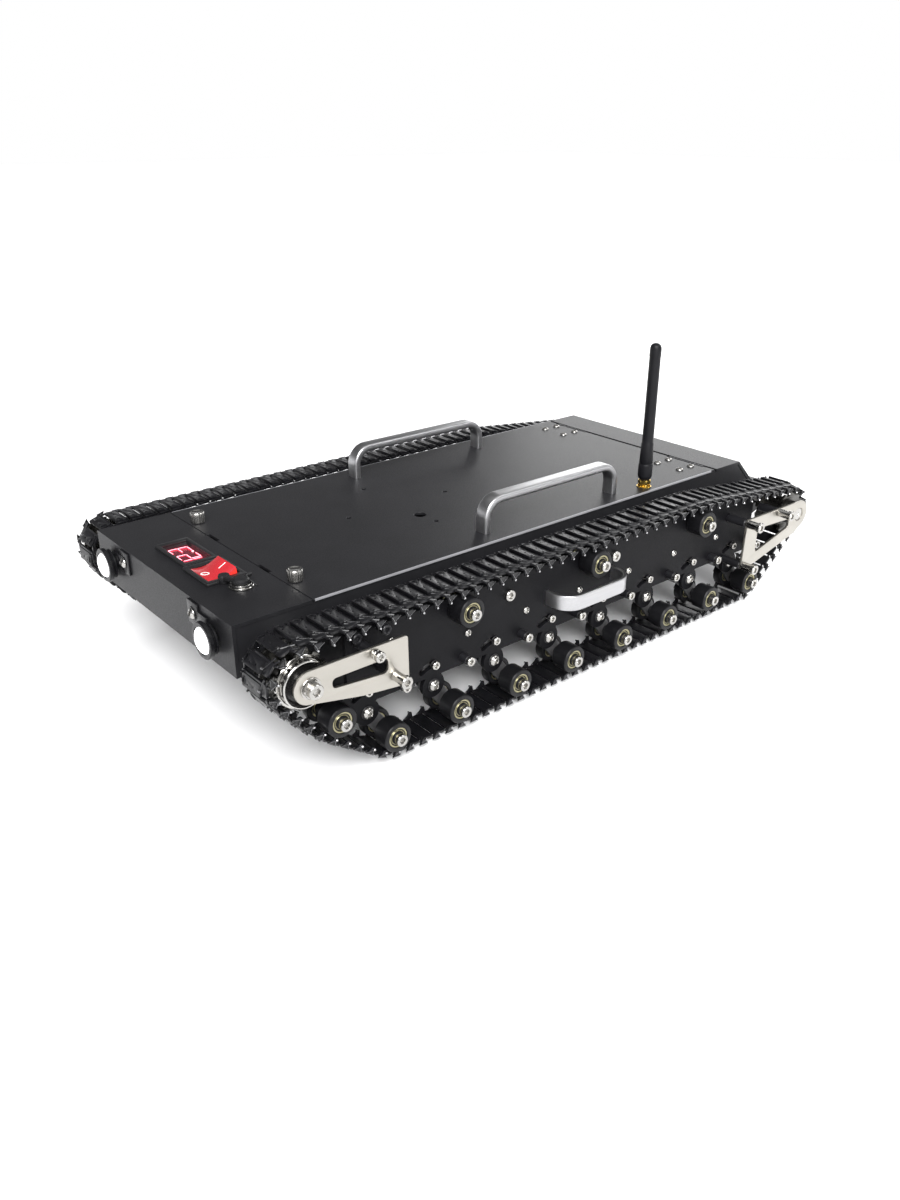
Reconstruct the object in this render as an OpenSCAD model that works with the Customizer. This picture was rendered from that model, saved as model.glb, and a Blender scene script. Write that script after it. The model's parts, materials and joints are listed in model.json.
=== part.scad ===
// Tracked robot chassis: a sheet-metal hull with a hinged lid between two
// steel tracks, each carried by eight sprung trailing arms with twin rollers.
// +X is forward, +Y is the left side, +Z is up, and the ground is at Z = 0.

/* [Hull] */
// Length of the flat deck
deck_l = 430; // [420:1:440]
// Width of the deck
deck_w = 174; // [170:1:176]
// Thickness of the hull sheet
sheet = 2; // [1.5:0.5:2.5]
// Height of the vertical front face
face_h = 31; // [28:1:34]
// Ground clearance under the hull floor
floor_z = 24; // [20:1:28]

/* [Lid] */
// Distance from the deck front to the seam of the lid
seam_front = 49; // [47:1:51]
// Distance from the deck rear to the hinge axis of the lid
seam_rear = 29; // [28:1:31]
// Spacing of the feet of a lid handle
handle_l = 117; // [110:1:120]
// Height of a lid handle
handle_h = 23; // [20:1:26]
// Pitch circle diameter of the four holes in the lid
pattern_d = 81; // [76:1:84]
// Diameter of those holes
pattern_hole_d = 3.2; // [3:0.2:4.2]
// Diameter of the cable hole in the lid
cable_hole_d = 8; // [6:1:10]

/* [Running gear] */
// Number of suspension arms on a side
stations = 8; // [8:1:8]
// Distance between suspension arms
station_pitch = 47; // [46:0.5:47]
// Radius of every track roller
roller_r = 9; // [8.5:0.5:9]
// Distance between the three return rollers
carrier_pitch = 107; // [105:1:108]
// Length of a suspension arm's travel, in degrees
arm_travel = 36; // [30:1:36]
// Distance from the hull centre to the side plates' middle
track_y = 114; // [113:1:115]
// Width of a track link
link_w = 29; // [28:0.5:29]
// Links in one track
link_count = 103; // [103:1:103]
// Teeth on the sprocket and on the idler
teeth = 10; // [10:1:10]

/* [Fittings] */
// Height of the antenna above the lid
antenna_h = 100; // [90:5:110]
// Diameter of a headlamp lens
lens_d = 18; // [16:1:20]

/* [Hidden] */

$fn = 48;
eps = 0.01;

// Track section: heights are measured outward from the line of the pins.
pin_r = 1;
plate_in = 2.8;
plate_out = 4.2;
grouser_out = 6.2;
roll_gap = 0.35;
roll_line = roller_r + pin_r + roll_gap;
link_pitch_r = 15.5;

// Datum: the deck front stands forward of the origin, which is the middle of
// the whole length.
front_x = 231.5;
rear_x = front_x - deck_l;
wheel_z = roll_line + grouser_out;
deck_z = wheel_z + 78;
skin_z = deck_z - sheet;
seam_x = front_x - seam_front;
hinge_x = rear_x + seam_rear;
hinge_z = deck_z - 1.5;
hull_hw = deck_w / 2 - 0.5;

// Running gear places
pivot_x0 = front_x - 62.5;
pivot_z = deck_z - 63;
axle_dx = -11.5;
axle_dz = wheel_z - pivot_z;
tail_r = 14;
post = [-22, 11];
dome = [-26, 25.7];
carrier_x0 = front_x - 128;
carrier_z = deck_z - 17.4;
guide_x = front_x - 38;
guide_z = deck_z - 53.5;
idler_x = front_x - 17.4;
idler_z = carrier_z + roll_line - link_pitch_r - 0.05;
sprocket_x = front_x - 449.5;
sprocket_z = deck_z - 34;

// Sideways places, from the hull centre outward
plate_y = track_y - 2;
plate_t = 3;
face_y = plate_y + plate_t;
arm_y = plate_y - 3.5;
arm_t = 3;
outer_y = face_y + 1;
outer_w = 12;
inner_y = track_y - 13.5;
inner_w = 7;
axle_plate_y = track_y + 16;
axle_plate_t = 2;
tooth_y = 7.8;
tooth_w = 2.2;
shaft_r = 3;
run_gap = 0.05;

function pivot(i) = [pivot_x0 - (i - 1) * station_pitch, pivot_z];
function carrier(i) = [carrier_x0 - (i - 1) * carrier_pitch, carrier_z];

// ---- Track path: straight runs tangent to a ring of circles ----
rings = [
    [sprocket_x, sprocket_z, link_pitch_r],
    concat(carrier(3), roll_line),
    concat(carrier(1), roll_line),
    [idler_x, idler_z, link_pitch_r],
    [guide_x, guide_z, roll_line],
    [pivot(1)[0] + axle_dx, wheel_z, roll_line],
    [pivot(stations)[0] + axle_dx, wheel_z, roll_line]];
ring_n = len(rings);
// Outward normal of the run from ring i to the next one, going clockwise
function run_angle(i) =
    let (a = rings[i], b = rings[(i + 1) % ring_n],
         d = norm([b[0] - a[0], b[1] - a[1]]),
         dir = atan2(b[1] - a[1], b[0] - a[0]))
    dir + 90 + asin((b[2] - a[2]) / d);
function on_ring(i, ang) =
    [rings[i][0] + rings[i][2] * cos(ang), rings[i][1] + rings[i][2] * sin(ang)];
function wrap(ang) = ang - 360 * floor(ang / 360);
run_ang = [for (i = [0:ring_n - 1]) run_angle(i)];
run_len = [for (i = [0:ring_n - 1])
    norm(on_ring((i + 1) % ring_n, run_ang[i]) - on_ring(i, run_ang[i]))];
turn_ang = [for (i = [0:ring_n - 1])
    wrap(run_ang[i] - run_ang[(i + 1) % ring_n])];
turn_len = [for (i = [0:ring_n - 1])
    turn_ang[i] * PI / 180 * rings[(i + 1) % ring_n][2]];
function total(v, n) = n == 0 ? 0 : v[n - 1] + total(v, n - 1);
run_start = [for (i = [0:ring_n]) total(run_len, i) + total(turn_len, i)];
path_l = run_start[ring_n];
function leg(s, i = 0) = s < run_start[i + 1] ? i : leg(s, i + 1);
function path_point(s) =
    let (i = leg(s), t = s - run_start[i], j = (i + 1) % ring_n)
    t < run_len[i]
        ? on_ring(i, run_ang[i]) + t / run_len[i]
            * (on_ring(j, run_ang[i]) - on_ring(i, run_ang[i]))
        : on_ring(j, run_ang[i] - (t - run_len[i]) / rings[j][2] * 180 / PI);
link_pitch = path_l / link_count;

// ---- Small shared shapes ----
// A round bar along Y from y0 to y1
module bar(r, y0, y1, fn = 32) {
    translate([0, y0, 0])
        rotate([-90, 0, 0])
            cylinder(r = r, h = y1 - y0, $fn = fn);
}

// Places children at a point of the side view
module at(p) {
    translate([p[0], 0, p[1]])
        children();
}

// Repeats children on the left and, mirrored, on the right
module both_sides() {
    children();
    mirror([0, 1, 0])
        children();
}

module on_side(s) {
    if (s == "left")
        children();
    else
        mirror([0, 1, 0])
            children();
}

// Extrudes a side-view outline along Y from y0 to y1
module side_extrude(y0, y1) {
    translate([0, y1, 0])
        rotate([90, 0, 0])
            linear_extrude(height = y1 - y0)
                children();
}

// A straight slot or bar outline between two points
module stadium(a, b, r) {
    d = norm(b - a);
    translate(a)
        rotate(atan2(b[1] - a[1], b[0] - a[0])) {
            circle(r = r);
            translate([d, 0])
                circle(r = r);
            translate([0, -r])
                square([d, 2 * r]);
        }
}

// A socket-head screw head on the outer end of a bar
module socket_head(r, y0, h) {
    difference() {
        bar(r, y0, y0 + h);
        translate([0, y0 + h * 0.4, 0])
            rotate([-90, 0, 0])
                cylinder(r = r * 0.52, h = h, $fn = 6);
    }
}

// A button head whose flat side is at y0
module button_head(r, y0, h) {
    translate([0, y0, 0])
        rotate([-90, 0, 0])
            rotate_extrude($fn = 32)
                polygon([[0, 0], [r, 0], [r, h * 0.35], [r * 0.75, h * 0.8],
                    [r * 0.4, h], [0, h]]);
}

// ---- Hull ----
hull_outer = [
    [front_x - sheet, skin_z], [front_x - sheet, deck_z - face_h],
    [front_x - 50, floor_z], [rear_x + 40, floor_z],
    [rear_x - 41, floor_z + 26], [rear_x - 41, deck_z - 24],
    [rear_x - 18, deck_z - 18 - sheet], [rear_x, skin_z]];
lamp_y = 65;
lamp_z = deck_z - 15;
lamp_x = front_x;
hull_inner = [
    [front_x - 2 * sheet, skin_z + 1], [front_x - 2 * sheet, deck_z - face_h + 1],
    [front_x - 51, floor_z + sheet], [rear_x + 41, floor_z + sheet],
    [rear_x - 39, floor_z + 27], [rear_x - 39, deck_z - 25.5],
    [rear_x - 17, deck_z - 18 - 2 * sheet], [rear_x + 2, skin_z + 1]];

// Holes for the lamp stems through both layers of the front
module lamp_holes() {
    for (y = [-lamp_y, lamp_y])
        translate([front_x - 3 * sheet, y, lamp_z])
            rotate([0, 90, 0])
                cylinder(r = 3.1, h = 3 * sheet + 1);
}

module hull_tub() {
    color("#1d1e21")
        difference() {
            side_extrude(-hull_hw, hull_hw)
                polygon(hull_outer);
            side_extrude(-hull_hw + sheet, hull_hw - sheet)
                polygon(hull_inner);
            at([sprocket_x, sprocket_z])
                bar(5, -deck_w, deck_w);
            lamp_holes();
        }
}

meter_box = [18, 38];
meter_at = [front_x - 26, -16];
switch_box = [22, 28];
switch_at = [front_x - 25.5, 21];
jack_at = [front_x - 28, 47];
bracket_y = 45;

module deck_covers() {
    color("#2b2c30") {
        difference() {
            translate([seam_x, -deck_w / 2, skin_z])
                cube([seam_front - sheet, deck_w, sheet]);
            translate([meter_at[0] - meter_box[0] / 2, meter_at[1] - meter_box[1] / 2,
                skin_z - 1])
                cube([meter_box[0], meter_box[1], sheet + 2]);
            translate([switch_at[0] - switch_box[0] / 2,
                switch_at[1] - switch_box[1] / 2, skin_z - 1])
                cube([switch_box[0], switch_box[1], sheet + 2]);
            translate([jack_at[0], jack_at[1], skin_z - 1])
                cylinder(d = 11, h = sheet + 2);
        }
        difference() {
            translate([front_x - sheet, -deck_w / 2, deck_z - face_h])
                cube([sheet, deck_w, face_h]);
            lamp_holes();
        }
        side_extrude(-deck_w / 2, deck_w / 2)
            polygon([[hinge_x - 1.8, deck_z], [hinge_x - 1.8, skin_z],
                [rear_x, skin_z], [rear_x - 18, deck_z - 18 - sheet],
                [rear_x - 18 - sheet, deck_z - 18 - 0.5], [rear_x - 1, deck_z]]);
    }
}

// ---- Side plates ----
// Curved slot that the tail stud of an arm runs in
module arc_slot(half_w) {
    for (a = [0, -arm_travel])
        rotate(a)
            translate([0, tail_r])
                circle(r = half_w - 0.15, $fn = 24);
    difference() {
        circle(r = tail_r + half_w, $fn = 96);
        circle(r = tail_r - half_w, $fn = 96);
        translate([-40, -40])
            square([40, 80]);
        rotate(-arm_travel)
            translate([0, -40])
                square([40, 80]);
    }
}

function hull_spacers() = concat(
    [for (i = [1:stations - 1]) pivot(i) + dome],
    [[front_x - 80, deck_z - 24]]);
front_screws = [[idler_x - 39.6, idler_z + 5.8], [idler_x - 52.6, idler_z - 12]];
rear_screws = [[sprocket_x + 27, sprocket_z + 7.8], [sprocket_x + 65, sprocket_z + 8],
    [sprocket_x + 65.5, sprocket_z - 24]];

module side_plate_outline() {
    difference() {
        union() {
            polygon([[pivot(stations)[0] - 22, deck_z - 57], [front_x - 50, deck_z - 57],
                [front_x - 50, deck_z - 11.5], [pivot(stations)[0] + 12, deck_z - 11.5],
                [pivot(stations)[0] - 22, deck_z - 16]]);
            polygon([[front_x - 60, deck_z - 50], [guide_x + 2, guide_z + 6.5],
                [guide_x + 6, guide_z - 3], [guide_x - 2, guide_z - 6.5],
                [pivot(1)[0], pivot_z - 2], [pivot(1)[0] - 10, pivot_z + 10]]);
            for (i = [1:stations]) {
                translate(pivot(i))
                    circle(r = 8);
                translate(pivot(i) + [-6, 0])
                    square([12, 10]);
            }
            translate([guide_x, guide_z])
                circle(r = 7);
        }
        for (i = [1:stations])
            translate(pivot(i)) {
                circle(r = shaft_r);
                arc_slot(2.3);
            }
        for (p = hull_spacers())
            translate(p)
                circle(r = 2);
        for (i = [1:3])
            translate(carrier(i))
                circle(r = shaft_r);
        translate([guide_x, guide_z])
            circle(r = shaft_r);
    }
}

module side_plates() {
    color("#222327")
        both_sides()
            side_extrude(plate_y, face_y)
                side_plate_outline();
}

// ---- Idler and sprocket carrier plates ----
module front_plate_outline() {
    nose = 9.5;
    difference() {
        union() {
            translate([idler_x, idler_z])
                circle(r = nose);
            polygon([[idler_x, idler_z + nose], [idler_x - 61.5, idler_z + nose],
                [idler_x - 62, idler_z - 20.5], [idler_x - 31, idler_z - 16.5],
                [idler_x, idler_z - nose - 1.5], [idler_x + 6, idler_z - nose + 2.2]]);
        }
        translate([idler_x, idler_z])
            circle(r = shaft_r + run_gap);
        hull() {
            translate([idler_x - 15.5, idler_z - 2.5])
                circle(r = 2.7);
            translate([idler_x - 44.8, idler_z - 3.2])
                circle(r = 3.4);
            translate([idler_x - 43.6, idler_z - 4.6])
                circle(r = 4);
        }
        for (p = front_screws)
            translate(p)
                circle(r = 2.2);
    }
}

module rear_plate_outline() {
    nose = 10.5;
    difference() {
        union() {
            translate([sprocket_x, sprocket_z])
                circle(r = nose);
            polygon([[sprocket_x, sprocket_z + nose], [sprocket_x + 66, sprocket_z + 11.2],
                [sprocket_x + 67.5, sprocket_z - 27], [sprocket_x + 52, sprocket_z - 25.8],
                [sprocket_x + 27.5, sprocket_z - 19.8], [sprocket_x + 4, sprocket_z - 14.5],
                [sprocket_x - 8, sprocket_z - 7.5]]);
        }
        translate([sprocket_x, sprocket_z])
            circle(r = 5);
        hull() {
            translate([sprocket_x + 14.5, sprocket_z - 3.8])
                circle(r = 3);
            translate([sprocket_x + 50.4, sprocket_z - 0.7])
                circle(r = 2);
            translate([sprocket_x + 50.4, sprocket_z - 14])
                circle(r = 2);
        }
        for (p = rear_screws)
            translate(p)
                circle(r = 2.2);
    }
}

module axle_plates() {
    color("#cfcabb")
        both_sides() {
            side_extrude(axle_plate_y, axle_plate_y + axle_plate_t)
                front_plate_outline();
            side_extrude(axle_plate_y, axle_plate_y + axle_plate_t)
                rear_plate_outline();
        }
}

// ---- Tracks ----
lane = link_w / 2;
link_y = track_y - 2.5;
ear_t = 1.4;
// One link, drawn from its own pin at the origin to the next pin along +X. Its
// plate rises towards the next link and ends in a grouser edge.
module track_link() {
    side_extrude(-lane, lane)
        polygon([[0.5, plate_in], [link_pitch - 0.6, plate_in],
            [link_pitch - 0.5, grouser_out], [link_pitch - 1.3, grouser_out],
            [link_pitch - 2.6, plate_out + 0.6], [0.9, plate_out - 0.3]]);
    for (y = [-lane + 0.3, lane - ear_t - 0.3])
        side_extrude(y, y + ear_t)
            polygon([[-0.9, -0.9], [0.9, -0.9], [link_pitch / 2, plate_in - 0.6],
                [link_pitch - 2.7, 0.3], [link_pitch - 1.4, 0.3],
                [link_pitch / 2 + 2.4, plate_in], [link_pitch / 2 - 2.6, plate_in]]);
    bar(pin_r, lane - ear_t - 0.3, lane + 1, 16);
    bar(pin_r, -lane - 1, -lane + ear_t + 0.3, 16);
}

module tracks() {
    color("#141416")
        both_sides()
            for (k = [0:link_count - 1]) {
                a = path_point(k * link_pitch);
                b = path_point(((k + 1) % link_count) * link_pitch);
                translate([a[0], link_y, a[1]])
                    rotate([0, -atan2(b[1] - a[1], b[0] - a[0]), 0])
                        track_link();
            }
}

// ---- Fasteners fixed to the hull ----
module pivot_bolt() {
    bar(shaft_r, inner_y - 2, face_y + eps);
    bar(5, inner_y - 4, inner_y - 2 + eps);
    button_head(3.8, face_y, 2.8);
}

module roller_bolt() {
    bar(shaft_r, inner_y - 0.5, outer_y + outer_w + 0.5);
    bar(5, inner_y - 3, inner_y - 0.5 + eps);
    translate([0, outer_y + outer_w + 0.5 - eps, 0])
        socket_head(3.7, 0, 3.5);
}

module stop_post() {
    bar(3, face_y, face_y + 6);
    socket_head(2.9, face_y + 6 - eps, 2.6);
}

module dome_spacer() {
    bar(1.9, plate_y - eps, face_y + eps, 24);
    bar(3.5, hull_hw, plate_y);
    button_head(2.5, face_y, 1.6);
}

module plate_screw() {
    bar(2.2, face_y, axle_plate_y + axle_plate_t + 8);
    bar(3.1, face_y, axle_plate_y);
    bar(3.1, axle_plate_y + axle_plate_t, axle_plate_y + axle_plate_t + 8);
    translate([0, axle_plate_y + axle_plate_t + 8 - eps, 0])
        socket_head(3.8, 0, 3.5);
}

module fixed_hinge_leaves() {
    for (y = [-60, 60]) {
        translate([hinge_x - 20, y - 16, skin_z - 1.2])
            cube([18.2, 32, 1.2]);
        translate([hinge_x, 0, hinge_z])
            bar(0.8, y - 16, y + 16, 24);
        for (q = [-16, 7]) {
            translate([hinge_x, 0, hinge_z])
                bar(1.5, y + q, y + q + 9, 24);
            translate([hinge_x - 2, y + q, skin_z - 1.2])
                cube([2, 9, 1.2]);
        }
    }
}

module chassis_fasteners() {
    color("#c9cbcf") {
        both_sides() {
            for (i = [1:stations]) {
                at(pivot(i))
                    pivot_bolt();
                at(pivot(i) + post)
                    stop_post();
            }
            for (i = [1:3])
                at(carrier(i))
                    roller_bolt();
            at([guide_x, guide_z])
                roller_bolt();
            for (p = hull_spacers())
                at(p)
                    dome_spacer();
            for (p = concat(front_screws, rear_screws))
                at(p)
                    plate_screw();
            at([idler_x, idler_z]) {
                bar(shaft_r, track_y - 14, axle_plate_y + axle_plate_t + eps);
                translate([0, axle_plate_y + axle_plate_t, 0])
                    socket_head(5.4, 0, 5);
                bar(5, track_y - 16, track_y - 14 + eps);
            }
        }
        fixed_hinge_leaves();
    }
}

module suspension_springs() {
    wire = 0.8;
    coil_r = shaft_r + run_gap + 2.6;
    turns = 4;
    color("#8d9096")
        both_sides()
            for (i = [1:stations])
                at(pivot(i))
                    translate([0, inner_y - 1.6, 0])
                        rotate([-90, 0, 0])
                            rotate_extrude($fn = 32)
                                union() {
                                    for (t = [0:turns - 1])
                                        translate([coil_r, wire + t * wire * 1.9])
                                            circle(r = wire, $fn = 16);
                                    translate([shaft_r, 0])
                                        square([1, turns * wire * 1.9]);
                                    translate([shaft_r, wire * 0.8])
                                        square([coil_r - shaft_r, wire * 0.6]);
                                }
}

// ---- Handles ----
module side_handles() {
    reach = 19;
    strip = 2.6;
    strip_h = 10;
    length = 62;
    bend = 14;
    x0 = front_x - 261;
    color("#d5d7da")
        both_sides()
            translate([x0, face_y, deck_z - 39])
                linear_extrude(height = strip_h)
                    difference() {
                        union() {
                            translate([bend, 0])
                                square([length - 2 * bend, reach]);
                            square([length, reach - bend]);
                            for (x = [bend, length - bend])
                                translate([x, reach - bend])
                                    circle(r = bend);
                        }
                        translate([-1, -bend])
                            square([length + 2, bend]);
                        translate([bend, -1])
                            square([length - 2 * bend, reach - strip + 1]);
                        translate([strip, -1])
                            square([length - 2 * strip, reach - bend + 1]);
                        for (x = [bend, length - bend])
                            translate([x, reach - bend])
                                circle(r = bend - strip);
                    }
}

handle_y = 70.5;
handle_x1 = seam_x - 137 - handle_l;
module lid_handles() {
    strip = 5;
    width = 10;
    bend = 11;
    color("#d5d7da")
        for (y = [-handle_y, handle_y])
            translate([handle_x1, y, deck_z])
                side_extrude(-width / 2, width / 2)
                    difference() {
                        union() {
                            translate([bend - strip / 2, 0])
                                square([handle_l - 2 * bend + strip, handle_h]);
                            translate([-strip / 2, 0])
                                square([handle_l + strip, handle_h - bend]);
                            for (x = [bend - strip / 2, handle_l - bend + strip / 2])
                                translate([x, handle_h - bend])
                                    circle(r = bend);
                        }
                        translate([bend - strip / 2, -1])
                            square([handle_l - 2 * bend + strip, handle_h - strip + 1]);
                        translate([strip / 2, -1])
                            square([handle_l - strip, handle_h - bend + 1]);
                        for (x = [bend - strip / 2, handle_l - bend + strip / 2])
                            translate([x, handle_h - bend])
                                circle(r = bend - strip);
                    }
}

// ---- Lid ----
pattern_at = [seam_x - 126, -3.3];
cable_at = [seam_x - 125, 21.6];
antenna_at = [seam_x - 282, 78];
knob_x = seam_x - 6.5;
knob_y = 59;
notch_y = [-29, 33];
hinge_screws = [for (y = [-60, 60]) for (dx = [8, 21]) for (dy = [-10.5, 10.5])
    [hinge_x + dx, y + dy]];

module lid() {
    color("#2e2f33")
        difference() {
            translate([hinge_x + 0.6, -deck_w / 2, skin_z])
                cube([seam_x - hinge_x - 0.6 - 0.6, deck_w, sheet]);
            for (k = [0:3])
                translate([pattern_at[0] + pattern_d / 2 * cos(90 * k),
                    pattern_at[1] + pattern_d / 2 * sin(90 * k), skin_z - 1])
                    cylinder(d = pattern_hole_d, h = sheet + 2);
            translate([cable_at[0], cable_at[1], skin_z - 1])
                cylinder(d = cable_hole_d, h = sheet + 2);
            translate([antenna_at[0], antenna_at[1], skin_z - 1])
                cylinder(r = 3, h = sheet + 2);
            for (y = [-knob_y, knob_y])
                translate([knob_x, y, skin_z - 1])
                    cylinder(r = 2, h = sheet + 2);
            for (p = hinge_screws)
                translate([p[0], p[1], skin_z - 1])
                    cylinder(r = 1.5, h = sheet + 2);
            for (y = notch_y)
                translate([seam_x - 2.6, y - 6.5, skin_z - 1])
                    cube([4, 13, sheet + 2]);
            for (y = [-60, 60])
                translate([hinge_x, y - 17, skin_z - 1])
                    cube([2, 34, sheet + 2]);
        }
}

module thumb_screw() {
    cylinder(r = 2, h = 12);
    translate([0, 0, 4.3])
        cylinder(r = 4.6, h = 7.5);
}

module lid_fittings() {
    color("#c4c7cc") {
        for (y = [-knob_y, knob_y])
            translate([knob_x, y, deck_z - 4.3])
                thumb_screw();
        for (p = hinge_screws)
            translate([p[0], p[1], skin_z - 3]) {
                cylinder(r = 1.5, h = sheet + 3 + eps);
                translate([0, 0, sheet + 3])
                    cylinder(r1 = 2.8, r2 = 1.8, h = 1.2, $fn = 32);
            }
        for (y = [-60, 60]) {
            translate([hinge_x + 2.2, y - 16, skin_z - 1.2])
                cube([24, 32, 1.2]);
            difference() {
                union() {
                    translate([hinge_x, 0, hinge_z])
                        bar(1.5, y - 6.8, y + 6.8, 24);
                    translate([hinge_x, y - 6.8, skin_z - 1.2])
                        cube([3, 13.6, 1.2]);
                }
                translate([hinge_x, 0, hinge_z])
                    bar(0.85, y - 8, y + 8, 24);
            }
        }
        translate([antenna_at[0], antenna_at[1], skin_z - 6])
            cylinder(r = 3, h = 6 + sheet + 1);
        translate([antenna_at[0], antenna_at[1], deck_z])
            cylinder(r = 4.6, h = 1.8, $fn = 6);
    }
}

module antenna() {
    color("#17181a")
        translate([antenna_at[0], antenna_at[1], deck_z]) {
            translate([0, 0, 2])
                difference() {
                    cylinder(r = 4.4, h = 5, $fn = 6);
                    translate([0, 0, -1])
                        cylinder(r = 3.05, h = 4);
                }
            translate([0, 0, 6.9])
                rotate_extrude($fn = 48)
                    polygon([[0, 0], [4.2, 0], [5, 1], [5, 12], [4.4, 16], [4, 20],
                        [3.6, antenna_h - 9], [4.2, antenna_h - 8.5],
                        [4.2, antenna_h - 7.4], [3.8, antenna_h - 6.9], [0, antenna_h - 6.9]]);
        }
}

// ---- Front fittings ----
module headlamps() {
    color("#0f1012")
        for (s = [-1, 1]) {
            translate([lamp_x + 3, s * lamp_y, lamp_z])
                rotate([0, 90, 0])
                    difference() {
                        cylinder(d = lens_d + 4, h = 5);
                        translate([0, 0, 3.5])
                            cylinder(d = lens_d, h = 3);
                    }
            translate([lamp_x + 5, s * lamp_y, lamp_z])
                rotate([0, 90, 0])
                    rotate_extrude()
                        polygon([[0, 0], [lens_d / 2 - 0.2, 0], [lens_d / 2 - 0.2, 1.5],
                            [lens_d / 4, 2.6], [0, 3]]);
            translate([lamp_x - sheet - 6, s * lamp_y, lamp_z])
                rotate([0, 90, 0])
                    cylinder(r = 3, h = 6 + sheet + 3.5);
            translate([lamp_x, s * bracket_y - 6, deck_z - 15])
                cube([1.5, 12, 14]);
            translate([lamp_x + 1.4, s * bracket_y, deck_z - 8])
                rotate([0, 90, 0])
                    cylinder(r1 = 3.2, r2 = 2, h = 2);
        }
}

rocker_tilt = 11;
rocker_z = deck_z + 0.5;
module control_panel() {
    bezel_t = 1.6;
    color("#17181a") {
        difference() {
            union() {
                translate([meter_at[0] - 11, meter_at[1] - 20.5, deck_z])
                    cube([22, 40.5, bezel_t]);
                translate([meter_at[0] - 8.8, meter_at[1] - 18.8, deck_z - 16])
                    cube([17.6, 37.6, 16 + eps]);
            }
            translate([meter_at[0] - 7.5, meter_at[1] - 15, deck_z - 2])
                cube([15, 30, 4]);
        }
        difference() {
            union() {
                translate([switch_at[0] - 12.75, switch_at[1] - 15.5, deck_z])
                    cube([25.5, 31, bezel_t]);
                translate([switch_at[0] - 10.8, switch_at[1] - 13.8, deck_z - 24])
                    cube([21.6, 27.6, 24 + eps]);
            }
            translate([switch_at[0] - 10, switch_at[1] - 11.2, deck_z - 9])
                cube([20, 22.4, 20]);
            translate([switch_at[0], 0, rocker_z - 1.5])
                bar(1.5 + run_gap, switch_at[1] - 12.4, switch_at[1] + 12.4);
        }
        translate([jack_at[0], jack_at[1], deck_z - 12])
            cylinder(d = 10.8, h = 12 + eps);
        translate([jack_at[0], jack_at[1], deck_z])
            difference() {
                cylinder(d = 14, h = 2.5);
                translate([0, 0, 0.8])
                    cylinder(d = 8, h = 3);
            }
        translate([jack_at[0], jack_at[1], deck_z - eps])
            cylinder(d = 7.6, h = 6);
    }
}

module rocker() {
    color("#c81e24")
        translate([switch_at[0], switch_at[1], rocker_z - 1.5])
            rotate([0, rocker_tilt, 0]) {
                side_extrude(-11, 11)
                    polygon([[-9.1, 4.5], [0, 2.4], [9.1, 4.5], [8.6, -0.5], [4.5, -4.5],
                        [-4.5, -4.5], [-8.6, -0.5]]);
                bar(1.5, -12.2, 12.2);
            }
}

// ---- Drive, battery and board inside the hull ----
module drive_pack() {
    motor_r = 12;
    shaft_offset = 2;
    color("#6f7276")
        both_sides() {
            at([sprocket_x, sprocket_z - shaft_offset])
                bar(motor_r, 20, hull_hw - sheet);
            at([sprocket_x, sprocket_z])
                bar(2, hull_hw - sheet - eps, track_y + 5, 32);
        }
    color("#2456a4")
        translate([front_x - 250, -35, floor_z + sheet])
            cube([110, 70, 36]);
    color("#1c6b3c")
        translate([front_x - 350, -40, floor_z + sheet + 5])
            cube([80, 80, 1.6]);
    color("#1c6b3c")
        for (x = [front_x - 346, front_x - 274])
            for (y = [-36, 36])
                translate([x, y, floor_z + sheet])
                    cylinder(r = 2.5, h = 5 + eps, $fn = 16);
}

// ---- Toothed wheels ----
module tooth_disc() {
    difference() {
        circle(r = 16.5, $fn = 96);
        for (k = [0:teeth - 1])
            rotate(k * 360 / teeth)
                translate([link_pitch_r + 0.6, 0])
                    circle(r = 2.6, $fn = 24);
    }
}

module toothed_pair() {
    for (y = [track_y - tooth_y - tooth_w, track_y + tooth_y])
        side_extrude(y, y + tooth_w)
            tooth_disc();
}

module idler(side) {
    color("#b9bcc0")
        on_side(side)
            at([idler_x, idler_z])
                difference() {
                    union() {
                        toothed_pair();
                        bar(10, track_y - tooth_y - tooth_w + eps, track_y + tooth_y + eps);
                        bar(13.4, track_y + tooth_y + tooth_w - eps, track_y + 14.5, 64);
                    }
                    bar(shaft_r + run_gap, 0, 200);
                    difference() {
                        bar(12.2, track_y + tooth_y + tooth_w + 1, track_y + 20, 64);
                        bar(6, track_y, track_y + 14);
                    }
                }
}

module sprocket(side) {
    color("#85888c")
        on_side(side)
            at([sprocket_x, sprocket_z])
                difference() {
                    union() {
                        toothed_pair();
                        bar(10, track_y - tooth_y - tooth_w + eps, track_y + tooth_y + eps);
                        bar(4.9, track_y + tooth_y + tooth_w - eps,
                            axle_plate_y + axle_plate_t - 0.5);
                    }
                    bar(2 + run_gap, 0, track_y + 5.5);
                }
}

// ---- Rollers ----
// Roller from y0, w wide, with a bearing recess in its outer face
module roller(y0, w) {
    translate([0, y0, 0])
        rotate([-90, 0, 0])
            rotate_extrude($fn = 64)
                polygon([[shaft_r + run_gap, 0], [roller_r - 0.6, 0], [roller_r, 0.6],
                    [roller_r, w - 0.6], [roller_r - 0.6, w], [5.6, w], [5.6, w - 1.6],
                    [shaft_r + run_gap, w - 1.6]]);
}

module roller_pair(p, side) {
    color("#1b1c1f")
        on_side(side)
            at(p) {
                roller(inner_y, inner_w);
                roller(outer_y, outer_w);
            }
}

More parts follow.
